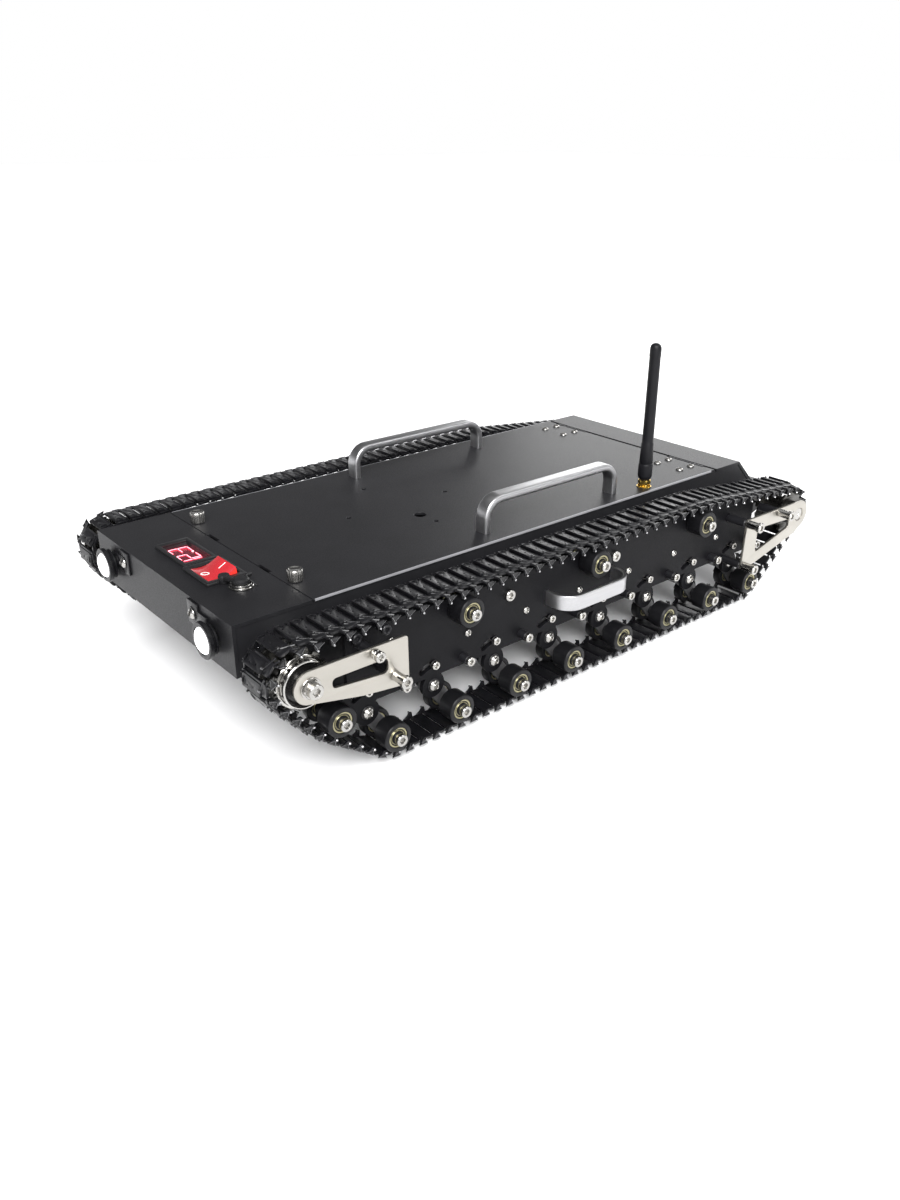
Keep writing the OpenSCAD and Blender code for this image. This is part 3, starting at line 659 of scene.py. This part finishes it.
# ---- Wheels ----
def add_roller(wheel, place, low, high, detailed):
    """Rounded black tyre with a bearing in its outer face."""
    r, lip, seat = ROLLER_R, 6.2, high - 1.7
    wheel.outward(lathe([(SHAFT_R, low + 0.2), (r - 1.2, low), (r - 0.3, low + 0.4), (r, low + 1.1),
                         (r, high - 0.7), (r - 0.35, high - 0.15), (r - 0.9, high), (lip + 0.3, high),
                         (lip, high - 0.3), (lip, seat), (SHAFT_R, seat)], 64), roller_black, place)
    wheel.outward(ring(5.2, lip - 0.05, seat - 0.1, seat + 1.15), brass_ring, place)
    wheel.outward(ring(4.5, 5.2, seat - 0.1, seat + 0.6), cup_dark, place)
    wheel.outward(ring(4.0, 4.5, seat - 0.1, seat + 0.95), brass_ring, place)
    if detailed:
        wheel.outward(ring(SHAFT_R, 3.9, seat - 0.1, high + 0.3), roller_black, place)


def make_rollers():
    rows = [("guide_roller_{}", guide)]
    rows += [(f"carrier_{{}}_{k + 1}", place) for k, place in enumerate(carriers)]
    rows += [(f"rollers_{{}}_{k + 1}", place) for k, place in enumerate(wheels)]
    for side_name, side in SIDES.items():
        for pattern, place in rows:
            body = pattern.format(side_name)
            wheel = Solid()
            add_roller(wheel, place, outer_low, outer_high, True)
            add_roller(wheel, place, inner_low, inner_high, False)
            wheel.piece(f"{body}_tyres", body, "roller_black", body, side)


def tooth_outline(place, teeth=10, radius=16.5):
    """Disc edge with a round gap for each pin."""
    gap_r, gap_at = 2.6, 16.1
    outline = []
    for k in range(teeth):
        middle_angle = 2 * math.pi * k / teeth
        bite = math.acos((radius ** 2 + gap_at ** 2 - gap_r ** 2) / (2 * radius * gap_at))
        centre = Vector(polar((0, 0), gap_at, middle_angle))
        first = Vector(polar((0, 0), radius, middle_angle - bite)) - centre
        last = Vector(polar((0, 0), radius, middle_angle + bite)) - centre
        turn = -((math.atan2(first.y, first.x) - math.atan2(last.y, last.x)) % (2 * math.pi))
        outline += arc(Vector(place) + centre, first, turn, 8)
        for s in range(1, 6):
            angle = middle_angle + bite + (2 * math.pi / teeth - 2 * bite) * s / 6
            outline.append(polar(place, radius, angle))
    return outline


DISC_LOWS = (104.0, 121.8)


def add_tooth_discs(wheel, place):
    for low in DISC_LOWS:
        wheel.standing([tooth_outline(place), circle(*place, 8, 32)], low, low + 2.2, gear_steel, 0.25)
    wheel.outward(ring(SHAFT_R, 10, 104.1, 123.9, 0.3), gear_steel, place)


def make_toothed_wheels():
    for side_name, side in SIDES.items():
        body = f"idler_{side_name}"
        front = Solid()
        add_tooth_discs(front, idler)
        front.outward(lathe([(SHAFT_R, 123.8), (13.0, 123.8), (13.4, 124.2), (13.4, 128.0),
                             (13.1, 128.4), (12.6, 128.4), (12.3, 128.0), (12.1, 124.6),
                             (SHAFT_R, 124.6)], 72), spacer_chrome, idler)
        front.outward(ring(13.5, 15.1, 122.0, 124.1, 0.3, 72), spacer_chrome, idler)
        front.outward(lathe([(5.4, 124.55), (12.05, 124.55), (12.2, 127.0), (11.8, 127.1),
                             (10.6, 125.1), (5.4, 125.0)], 72), cup_dark, idler)
        front.outward(ring(SHAFT_R, 5.5, 125, 129.8), spacer_chrome, idler)
        front.piece(f"idler_wheel_{side_name}", body, "toothed_steel", body, side)
        body = f"sprocket_{side_name}"
        rear = Solid()
        add_tooth_discs(rear, sprocket)
        rear.outward(ring(2.05, 8.5, 123.8, 127.5, 0.4), gear_steel, sprocket)
        rear.outward(lathe([(0, 120), (4.9, 120), (4.9, axle_face - 1.0), (4.4, axle_face - 0.6),
                            (1.2, axle_face - 0.6), (0.8, axle_face - 1.2), (0, axle_face - 1.2)]),
                     bolt_steel, sprocket)
        rear.piece(f"sprocket_wheel_{side_name}", body, "toothed_steel", body, side)


make_rollers()
make_toothed_wheels()


# ---- Suspension arms ----
def between(a, b, radius, steps=16):
    """Outline of a bar with round ends between two places."""
    way = math.atan2(b[1] - a[1], b[0] - a[0])
    outline = []
    for centre, turn in ((b, way - math.pi / 2), (a, way + math.pi / 2)):
        outline += [polar(centre, radius, turn + math.pi * k / steps) for k in range(steps + 1)]
    return outline


def add_axle_end(kit, place):
    """Washer and screw head that close the outer end of an axle."""
    kit.outward(ring(2.9, 3.6, outer_high + 0.35, outer_high + 0.9), bolt_black, place)
    kit.outward(socket_head(3.6, outer_high + 0.8, 3.2), bolt_steel, place)


def make_arms():
    low, high = face_y - 6.5, face_y - 3.5
    for side_name, side in SIDES.items():
        for number, (pivot, wheel) in enumerate(zip(pivots, wheels), 1):
            body = f"arm_{side_name}_{number}"
            arm = Solid()
            tail = (pivot[0], pivot[1] + 14)
            arm.standing([circle(*pivot, 7, 40), circle(*pivot, SHAFT_R, 24)], low, high, arm_metal, 0.4)
            arm.standing([between(pivot, wheel, 5), circle(*pivot, SHAFT_R, 24)], low + 0.2,
                         high - 0.2, arm_metal, 0.4)
            arm.standing([between(pivot, tail, 4), circle(*pivot, SHAFT_R, 24)], low + 0.1,
                         high - 0.1, arm_metal, 0.4)
            arm.outward(bar(2, high - 0.1, face_y + 1.3), bolt_steel, tail)
            arm.outward(ring(1.2, 2.7, face_y + 0.4, face_y + 1.2), bolt_black, tail)
            arm.outward(socket_head(2.6, face_y + 1.0, 2.3), bolt_steel, tail)
            arm.outward(bar(3, inner_low - 1, outer_high + 0.6), bolt_black, wheel)
            add_axle_end(arm, wheel)
            arm.outward(nut(4.9, inner_low - 3, inner_low - 0.7), bolt_steel, wheel)
            arm.piece(f"suspension_{side_name}_{number}", body, "arm_metal", body, side)


make_arms()


# ---- Nickel carrier plates ----
def nose_plate(centre, radius, tail_points, soft=2.0):
    """Outline from a round nose back to the tail points, given clockwise from the top."""
    top = (centre[0], centre[1] + radius)
    start = math.pi / 2
    bottom = Vector((tail_points[-1][0] - centre[0], tail_points[-1][1] - centre[1]))
    away = math.atan2(bottom.y, bottom.x)
    touch = math.acos(radius / bottom.length)
    way = -1 if tail_points[0][0] < centre[0] else 1
    stop = away - way * touch
    if way * (stop - start) < 0:
        stop += way * 2 * math.pi
    nose = [polar(centre, radius, start + (stop - start) * k / 32) for k in range(33)]
    back = rounded([nose[-1] + (0,), *[(*p, soft) for p in tail_points[::-1]], top + (0,)], 0)
    return nose[:-1] + back[:-1]


front_screws = [(idler[0] - 39.6, idler[1] + 5.8), (idler[0] - 52.6, idler[1] - 12)]
rear_screws = [(sprocket[0] + 27, sprocket[1] + 7.8), (sprocket[0] + 65, sprocket[1] + 8),
               (sprocket[0] + 65.5, sprocket[1] - 24)]


def make_axle_plates():
    x, z = idler
    outline = nose_plate(idler, 9.5, [(x - 61.5, z + 9.5), (x - 62, z - 20.5), (x - 31, z - 16.5)])
    slot = rounded([(x - 13, z + 0.2, 2.4), (x - 48.2, z + 0.2, 2.6), (x - 48.2, z - 8.6, 3.0),
                    (x - 13, z - 5.4, 2.4)], 2, 5)
    front = [outline, slot, circle(*idler, SHAFT_R), *[circle(*p, 2.2) for p in front_screws]]
    x, z = sprocket
    outline = nose_plate(sprocket, 10.5, [(x + 66, z + 11.2), (x + 67.5, z - 27), (x + 52, z - 25.8),
                                          (x + 27.5, z - 19.8), (x + 4, z - 14.5)])
    window = rounded([(x + 12.5, z - 0.6, 2.6), (x + 52.4, z + 1.4, 1.6), (x + 52.4, z - 17, 2.0),
                      (x + 12.5, z - 7, 2.8)], 2, 5)
    rear = [outline, window, circle(*sprocket, 5), *[circle(*p, 2.2) for p in rear_screws]]
    for side_name, side in SIDES.items():
        for name, loops in (("front", front), ("rear", rear)):
            sheet = Solid().standing(loops, axle_face - 2, axle_face, nickel, 0.3)
            sheet.piece(f"{name}_plate_{side_name}", "chassis", "nickel_plate", "axle_plates", side)


make_axle_plates()


# ---- Fasteners on the chassis ----
HULL_SIDE = 86.5
hull_spacers = [*[(x - 26, z + 25.7) for x, z in pivots[:-1]], (front_x - 80, deck_z - 24)]
large_screws = [(carriers[0][0] - 39, deck_z - 22), (carriers[1][0] - 25.4, deck_z - 22)]
plate_posts = [(idler[0] - 36.5, idler[1] + 11), (idler[0] - 55.5, idler[1] + 10.2)]


def make_fasteners():
    for side_name, side in SIDES.items():
        kit = Solid()
        for x, z in pivots:
            place, post = (x, z), (x - 22, z + 11)
            kit.outward(bar(3, inner_low - 2, face_y + 0.1), bolt_black, place)
            kit.outward(lathe([(0, inner_low - 4), (5.2, inner_low - 4, hexagon),
                                (5.4, inner_low - 2, hexagon), (0, inner_low - 2)]), bolt_steel, place)
            kit.outward(ring(2.9, 4.2, face_y, face_y + 0.5), bolt_black, place)
            kit.outward(button_head(3.7, face_y + 0.4, 2.4), bolt_steel, place)
            kit.outward(bar(3.0, face_y - 0.1, face_y + 6), bolt_black, post)
            kit.outward(socket_head(2.9, face_y + 5.9, 2.7), bolt_steel, post)
        for place in (*carriers, guide):
            kit.outward(bar(3, inner_low - 0.5, outer_high + 0.6), bolt_black, place)
            add_axle_end(kit, place)
            kit.outward(bar(5, inner_low - 3, inner_low - 0.5), bolt_black, place)
        for place in hull_spacers:
            kit.outward(bar(3.5, HULL_SIDE, face_y - 3), bolt_black, place)
            kit.outward(button_head(2.4, face_y, 1.6), bolt_steel, place)
        for place in large_screws:
            kit.outward(socket_head(3.6, face_y, 3.0), bolt_steel, place)
        for place in (*front_screws, *rear_screws):
            short = place == front_screws[0]
            stands = axle_face + (3.2 if short else 8)
            kit.outward(bar(2.2, face_y, stands + 0.2), bolt_steel, place)
            kit.outward(ring(2.1, 3.0, face_y, axle_face - 2.05, 0.3), bolt_black, place)
            kit.outward(ring(2.1, 3.0, axle_face + 0.05, stands, 0.3), spacer_chrome, place)
            kit.outward(socket_head(3.1 if short else 3.7, stands, 2.9), bolt_steel, place)
        for place in plate_posts:
            kit.outward(bar(2.6, face_y - 0.1, face_y + 4.2), bolt_black, place)
            kit.outward(socket_head(3.0, face_y + 4, 2.8), bolt_black, place)
        kit.outward(bar(3, 98, axle_face + 2), bolt_steel, idler)
        kit.outward(ring(2.9, 5.9, axle_face, axle_face + 0.9), bolt_steel, idler)
        kit.outward(lathe([(0, axle_face + 0.8), (5.2, axle_face + 0.8, hexagon),
                            (5.4, axle_face + 1.1, hexagon), (5.4, axle_face + 2.3, hexagon),
                            (4.9, axle_face + 2.8), (0, axle_face + 2.8)]), bolt_steel, idler)
        kit.outward(socket_head(4.3, axle_face + 2.6, 3.4), bolt_steel, idler)
        kit.piece(f"fasteners_{side_name}", "chassis", "stainless", "chassis_fasteners", side)
    leaves = Solid()
    for y in HINGE_Y:
        leaves.add(block((hinge.x - 20, y - 16, deck_z - 3.2), (hinge.x - 1.4, y + 16, deck_z - 2.02),
                         0.2), bolt_black)
        leaves.outward(bar(0.8, y - 16, y + 16), bolt_black, (hinge.x, hinge.z))
        for low in (-16, 7):
            leaves.outward(ring(0.8, 1.5, y + low, y + low + 9), bolt_black, (hinge.x, hinge.z))
    leaves.piece("hinge_leaves", "chassis", "stainless", "chassis_fasteners")


make_fasteners()


# ---- Handles ----
def strap_path(length, height, bend, steps=8):
    """Centre line of a handle in (along, up), from foot to foot."""
    path = [(0, 0)]
    for x, start in ((bend, math.pi), (length - bend, math.pi / 2)):
        path += [polar((x, height - bend), bend, start - math.pi / 2 * k / steps)
                 for k in range(steps + 1)]
    return path + [(length, 0)]


def strap_section(width, thick, soft):
    half, edge = width / 2, thick / 2
    return box_loop((-half, -edge), (half, edge), soft, 4)


def make_handles():
    low, high = corners("lid_handles")
    for name, y in (("left", high.y - 5), ("right", low.y + 5)):
        thick = 5.0
        path = [(low.x + thick / 2 + a, y, deck_z + b)
                for a, b in strap_path(high.x - low.x - thick, high.z - deck_z - thick / 2, 11.5)]
        handle = Solid().add(sweep(path, strap_section(10, thick, 1.5), (0, 1, 0)), handle_metal)
        handle.piece(f"lid_handle_{name}", "lid", "handle_aluminium", "lid_handles")
    low, high = corners("side_handles")
    for name, side in SIDES.items():
        thick = 2.6
        path = [(low.x + thick / 2 + a, face_y + b, (low.z + high.z) / 2)
                for a, b in strap_path(high.x - low.x - thick, high.y - face_y - thick / 2, 12.5)]
        section = strap_section(high.z - low.z, thick, 0.7)
        handle = Solid().add(sweep(path, section, (0, 0, 1)), handle_metal)
        handle.piece(f"side_handle_{name}", "chassis", "handle_aluminium", "side_handles", side)


make_handles()


# ---- Lid, its fittings and the antenna ----
def flutes(angle):
    """Radius of a fluted knob: 24 shallow grooves."""
    return 1 - 0.05 * max(0.0, math.cos(24 * angle)) ** 0.5


antenna = joint_at["antenna_swivel"]
knob_places = [(seam_x - 6.5, y) for y in (-59, 59)]
hinge_screws = [(hinge.x + along, y + side)
                for y in HINGE_Y for along in (8, 21) for side in (-10.5, 10.5)]


def make_lid():
    x0, x1, half = lid_low.x, lid_high.x, lid_high.y
    front_notch, rear_notch = seam_x - 2.6, hinge.x + 2
    outline = [(x0, -half), (x1, -half)]
    for y in (-29, 33):
        outline += [(x1, y - 6.5), (front_notch, y - 6.5), (front_notch, y + 6.5), (x1, y + 6.5)]
    outline += [(x1, half), (x0, half)]
    for y in reversed(HINGE_Y):
        outline += [(x0, y + 17), (rear_notch, y + 17), (rear_notch, y - 17), (x0, y - 17)]
    ring_x, ring_y, ring_r = seam_x - 126, -3.3, 40.5
    holes = [circle(ring_x + ring_r * dx, ring_y + ring_r * dy, 1.6)
             for dx, dy in ((1, 0), (0, 1), (-1, 0), (0, -1))]
    holes.append(circle(seam_x - 125, 21.6, 4, 32))
    holes.append(circle(antenna.x, antenna.y, 3))
    holes += [circle(*place, 2) for place in knob_places]
    holes += [circle(*place, 1.5) for place in hinge_screws]
    lid = Solid()
    lid.add(plate([outline, *holes], deck_z - 2, deck_z, 0.3), black_sheet)
    # Thin light strips along both long edges of the lid: a painted edge highlight.
    for side in SIDES.values():
        near, far = span(side, half - 0.75, half + 0.02)
        lid.add(block((x0 + 4, near, deck_z - 1.3), (x1 - 1, far, deck_z + 0.02), 0.1), painted_edge_highlight)
    lid.piece("lid_sheet", "lid", "black_sheet", "lid", sharp=12)


def make_lid_fittings():
    fittings = Solid()
    for x, y in knob_places:
        at = (x, y, deck_z)
        fittings.add(bar(2, -4.3, 0.4), bolt_steel, at)
        fittings.add(lathe([(0, 0.1), (4.1, 0.1), (4.4, 0.5), (4.6, 0.8, flutes), (4.6, 6.6, flutes),
                            (4.2, 7.2), (3.4, 7.2), (3.1, 7.0), (0, 6.9)], 192), bolt_steel, at)
    for x, y in hinge_screws:
        fittings.add(button_head(2.8, 0, 1.5), bolt_steel, (x, y, deck_z))
    for y in HINGE_Y:
        fittings.add(block((hinge.x + 2.2, y - 16, deck_z - 3.2), (hinge.x + 26.2, y + 16, deck_z - 2.02),
                           0.2), bolt_black)
        fittings.outward(ring(0.85, 1.5, y - 6.8, y + 6.8), bolt_black, (hinge.x, hinge.z))
    base = (antenna.x, antenna.y, deck_z)
    fittings.add(bar(3, -8, 2.8), gold, base)
    fittings.add(ring(2.9, 5.2, 0.02, 0.5), gold, base)
    fittings.add(lathe([(3, 0.4), (4.4, 0.4, hexagon), (4.6, 0.7, hexagon), (4.6, 1.5, hexagon),
                        (4.2, 1.8), (3, 1.8)]), gold, base)
    fittings.piece("lid_hardware", "lid", "stainless", "lid_fittings")


def make_antenna():
    top = corners("antenna")[1].z - deck_z
    whip = Solid()
    base = (antenna.x, antenna.y, deck_z)
    whip.add(lathe([(3.05, 2.0), (4.3, 2.0, hexagon), (4.5, 2.3, hexagon), (4.5, 4.6, hexagon),
                    (4.1, 5.1), (3.6, 5.2), (3.6, 6.9), (3.05, 6.9)]), gold, base)
    profile = [(0, 5.0), (3.5, 5.0), (4.3, 6.4), (4.9, 7.6), (5.0, 8.4), (5.0, 15.8), (4.9, 16.4),
               (4.6, 16.9), (4.55, 17.3), (4.7, 17.7), (4.5, 24), (4.25, 31.5), (3.95, 32.2),
               (3.9, 34), (3.85, top - 12), (3.8, top - 9.5), (3.9, top - 8.6), (4.0, top - 7.8),
               (3.9, top - 3.2), (3.4, top - 1.6), (2.4, top - 0.5), (1.2, top), (0, top)]
    whip.add(lathe(profile, 64), antenna_black, base)
    whip.piece("antenna_whip", "antenna", "antenna_black", "antenna")


make_lid()
make_lid_fittings()
make_antenna()


# ---- Headlamps ----
BRACKET_Y = 45


def make_headlamps():
    lamp_y = corners("headlamps")[1].y - 11
    lamps = Solid()
    for side in SIDES.values():
        at = (front_x, side * lamp_y, deck_z - 15)
        lamps.add(lathe([(0, -8), (3, -8), (3, 1.4), (8.6, 1.4), (9.4, 2.0), (9.4, 3.0), (8.8, 3.4),
                         (8.8, 4.0), (10.2, 4.4), (10.7, 5.0), (10.7, 6.9), (10.2, 7.4), (8.4, 7.4),
                         (8.0, 6.9), (7.9, 5.6), (0, 5.4)], 64), lamp_shell, at, AHEAD)
        lamps.add(lathe([(0, 5.5), (7.5, 5.5), (7.5, 7.0), (6.8, 7.9), (5.0, 8.8), (2.6, 9.3),
                         (0, 9.4)], 64), lamp_light, at, AHEAD)
        y = side * BRACKET_Y
        lamps.add(block((front_x, y - 6, deck_z - 15), (front_x + 1.5, y + 6, deck_z - 1), 0.4),
                  lamp_shell)
        inner, outer = span(side, BRACKET_Y + 4, lamp_y - 4)
        lamps.add(block((front_x, inner, deck_z - 13), (front_x + 1.6, outer, deck_z - 5), 0.4),
                  lamp_shell)
        lamps.add(ring(2.8, 4.0, 1.4, 2.0), lamp_shell, (front_x, y, deck_z - 8), AHEAD)
        lamps.add(button_head(3.2, 1.4, 2.2), spacer_chrome, (front_x, y, deck_z - 8), AHEAD)
    lamps.piece("headlamp_pair", "chassis", "lamp_black", "headlamps")


make_headlamps()


# ---- Control panel ----
SEGMENTS = {"1": "bc", "2": "abged", "3": "abgcd"}


def add_digit(panel, digit, centre, width, height):
    """A seven-segment digit whose top points forward and which reads towards the right side."""
    w, h, t = width / 2, height / 2, 0.45
    bars = {"a": ((-w, h), (w, h)), "g": ((-w, 0), (w, 0)), "d": ((-w, -h), (w, -h)),
            "b": ((w, h), (w, 0)), "c": ((w, 0), (w, -h)), "f": ((-w, h), (-w, 0)),
            "e": ((-w, 0), (-w, -h))}
    for key in SEGMENTS[digit]:
        (u0, v0), (u1, v1) = bars[key]
        ends = []
        for u, v in ((u0, v0), (u1, v1)):
            ends.append(Vector((centre[0] + v, centre[1] - u - v * 0.08)))
        way = (ends[1] - ends[0]).normalized()
        normal = Vector((-way.y, way.x))
        a, b = ends[0] + way * 0.35, ends[1] - way * 0.35
        for material, half, low, high in ((digit_red, t, 0.0, 0.35), (digit_core, t * 0.4, 0.3, 0.5)):
            outline = [a - way * half * 0.6, a + normal * half, b + normal * half,
                       b + way * half * 0.6, b - normal * half, a - normal * half]
            panel.add(prism([tuple(p) for p in outline], low, high), material, (0, 0, centre[2]))


def bezel(centre, outside, inside, soft):
    """Loops of a frame from its centre and half sizes. The outside has a near and a far half."""
    x, y = centre
    half, near, far = outside
    hole = [(x - inside[0], y - inside[1]), (x + inside[0], y + inside[1])]
    return [box_loop((x - half, y - near), (x + half, y + far), soft, 3), box_loop(*hole, 0.4)]


def add_meter(panel):
    x, y = front_x - 26, -16
    meter_rim = bezel((x, y), (11, 20.5, 20), (8.2, 16.4), 1.0)
    meter_case = bezel((x, y), (8.8, 18.8, 18.8), (8.0, 16.2), 0.5)
    panel.add(plate(meter_rim, deck_z, deck_z + 1.6, 0.35), panel_black)
    panel.add(plate(meter_case, deck_z - 16, deck_z + 0.2, 0.1), panel_black)
    panel.add(block((x - 8.1, y - 16.3, deck_z - 5), (x + 8.1, y + 16.3, deck_z - 1.4), 0.1), meter_face)
    for digit, shift in (("1", 11.5), ("2", 2.6), ("3", -9.0)):
        add_digit(panel, digit, (x - 0.2, y + shift, deck_z - 1.4), 7.0, 11.8)
    panel.add(bar(0.75, 0, 0.45, 0.1), digit_core, (x - 5.9, y - 3.6, deck_z - 1.4))


def add_switch_frame(panel):
    x, y = front_x - 25.5, 21
    switch_rim = bezel((x, y), (12.75, 15.5, 15.5), (9.9, 11.4), 1.2)
    switch_case = bezel((x, y), (10.8, 13.8, 13.8), (9.8, 11.3), 0.5)
    panel.add(plate(switch_rim, deck_z, deck_z + 1.8, 0.4), panel_black)
    panel.add(plate(switch_case, deck_z - 24, deck_z + 0.3, 0.1), panel_black)


def add_charge_socket(panel):
    """Socket in its ring, with a dust cap that hangs beside it on a strap."""
    x, y = front_x - 28, 47
    at = (x, y, deck_z)
    panel.add(ring(4.0, 7.0, 0.02, 1.3, 0.3), spacer_chrome, at)
    panel.add(ring(4.0, 6.2, 1.2, 2.6, 0.2), spacer_chrome, at)
    panel.add(ring(4.0, 6.4, 1.6, 1.95, 0.1), bolt_black, at)
    panel.add(bar(5.4, -12, 0.1), panel_black, at)
    panel.add(lathe([(0, 0), (3.9, 0.1), (3.9, 2.4), (4.9, 2.7), (5.1, 3.3), (4.8, 4.6), (3.8, 5.3),
                     (0, 5.5)]), rubber, at)
    strap = [(x + 3.5, y - 1.5, deck_z + 4.4), (x + 5.5, y - 4, deck_z + 4.9),
             (x + 6.3, y - 7, deck_z + 4.2), (x + 5.9, y - 9.5, deck_z + 2.4),
             (x + 4.8, y - 11.2, deck_z + 1.2)]
    section = strap_section(3.2, 1.2, 0.5)
    panel.add(sweep(strap, section, (0, 0, 1)), rubber)
    panel.add(lathe([(0, 0), (3.1, 0), (3.4, 0.6), (3.4, 4.2), (3.0, 4.9), (0, 5.0)]), rubber,
              (x + 4.6, y - 10.8, deck_z))
    panel.add(rod((x - 4.5, y + 1.5, deck_z + 3.6), (x - 6.5, y + 6.8, deck_z + 1.1), 0.55), rubber)
    panel.add(rod((x - 4.0, y - 2.0, deck_z + 4.4), (x - 8.6, y - 4.0, deck_z + 4.0), 1.3), rubber)


def make_panel():
    panel = Solid()
    for add_part in (add_meter, add_switch_frame, add_charge_socket):
        add_part(panel)
    panel.piece("panel_fittings", "chassis", "panel_plastic", "control_panel")


def make_rocker():
    pivot = joint_at["rocker_tip"]
    tilt = math.radians(11)
    key = Solid()
    turn = Matrix.Rotation(tilt, 4, "Y")
    top = [(-9.1, 4.5), (-6, 3.55), (-3, 2.75), (0, 2.4), (3, 2.75), (6, 3.55), (9.1, 4.5)]
    outline = [*top, (8.6, -0.5), (4.5, -4.5), (-4.5, -4.5), (-8.6, -0.5)]
    key.add(plate([outline], -10.7, 10.7, 0.35), rocker_red, pivot, turn @ STANDING)
    cheek = [(-8.9, 3.7), (0, 1.5), (8.9, 3.7), (8.4, -0.5), (4.4, -4.3), (-4.4, -4.3), (-8.4, -0.5)]
    for low in (-11.0, 10.7):
        key.add(plate([cheek], low, low + 0.3, 0.1), rocker_glow, pivot, turn @ STANDING)
    key.add(bar(1.5, -12.2, 12.2), rocker_red, pivot, turn @ OUTWARD)
    key.add(ring(1.35, 2.15, 0, 0.25, 0.06), mark_white, pivot, turn @ Matrix.Translation((5.6, 0, 3.3)) @
            Matrix.Rotation(math.radians(-17), 4, "Y") @ Matrix.Scale(1.25, 4, (1, 0, 0)))
    key.add(block((-2.6, -0.4, 0), (2.6, 0.4, 0.25), 0.08), mark_white, pivot,
            turn @ Matrix.Translation((-5.6, 0, 3.3)) @ Matrix.Rotation(math.radians(17), 4, "Y"))
    key.piece("rocker_key", "rocker", "rocker_red", "rocker")


make_panel()
make_rocker()


# ---- Inside the hull ----
def make_inside():
    inside = Solid()
    motor_at = (sprocket[0], sprocket[1] - 2)
    for side in (1, -1):
        start, stop = span(side, 20, 84.4)
        gear_low, gear_high = span(side, 62, 84.4)
        inside.outward(bar(11.9, start, stop, 0.8, 48), motor_can, motor_at)
        inside.outward(ring(11.5, 12.0, gear_low, gear_high), gear_steel, motor_at)
        shaft_low, shaft_high = span(side, 84, 119)
        inside.outward(bar(2, shaft_low, shaft_high), bolt_steel, sprocket)
    base = deck_z - 68.55
    pack_low, pack_high = (front_x - 250, -35, base), (front_x - 140, 35, base + 36)
    inside.add(block(pack_low, pack_high, 3.0, 4), cell_wrap)
    for x in (front_x - 225, front_x - 165):
        inside.add(block((x - 4, -35.4, base + 0.2), (x + 4, 35.4, base + 36.4), 0.4), rubber)
    board_z = base + 5
    inside.add(block((front_x - 350, -40, board_z), (front_x - 270, 40, board_z + 1.6), 0.2), board_green)
    for x in (front_x - 346, front_x - 274):
        for y in (-36, 36):
            inside.add(bar(2.5, 0, 5.05), gold, (x, y, base))
            inside.add(socket_head(2.4, 6.5, 2.0), bolt_steel, (x, y, base))
    chips = ((-335, -20, 12, 16, 2.2), (-335, 12, 18, 10, 3.0), (-310, -8, 10, 10, 1.6),
             (-300, 22, 14, 8, 10.0), (-298, -30, 20, 8, 10.0), (-286, 2, 6, 12, 8.0))
    for x, y, length, width, height in chips:
        inside.add(block((front_x + x, y, board_z + 1.55), (front_x + x + length, y + width,
                   board_z + 1.6 + height), 0.4), part_grey)
    for k in range(4):
        inside.add(bar(3.2, 1.5, 12, 0.4), bolt_steel, (front_x - 318 + 8 * k, 32, board_z))
    inside.piece("drive_and_power", "chassis", "drive_metal", "drive_pack")


make_inside()


# ---- CAD nodes that stay, with their finishes ----
def dress(node, material, soft=0.0):
    piece = frame["nodes"][node]
    piece.data.materials.clear()
    piece.data.materials.append(material)
    if soft:
        weld = piece.modifiers.new("weld", "WELD")
        weld.merge_threshold = 0.00001
        bevel = piece.modifiers.new("edge", "BEVEL")
        bevel.width = soft * MM
        bevel.segments = 1
        bevel.limit_method = "ANGLE"
        bevel.angle_limit = math.radians(40)
        crease = piece.modifiers.new("crease", "EDGE_SPLIT")
        crease.split_angle = math.radians(30)


dress("hull_tub", black_sheet, 0.35)
dress("deck_covers", black_sheet)
dress("side_plates", black_plate, 0.25)
dress("suspension_springs", spring_steel)

scene = bpy.context.scene
scene.view_settings.view_transform = "Standard"
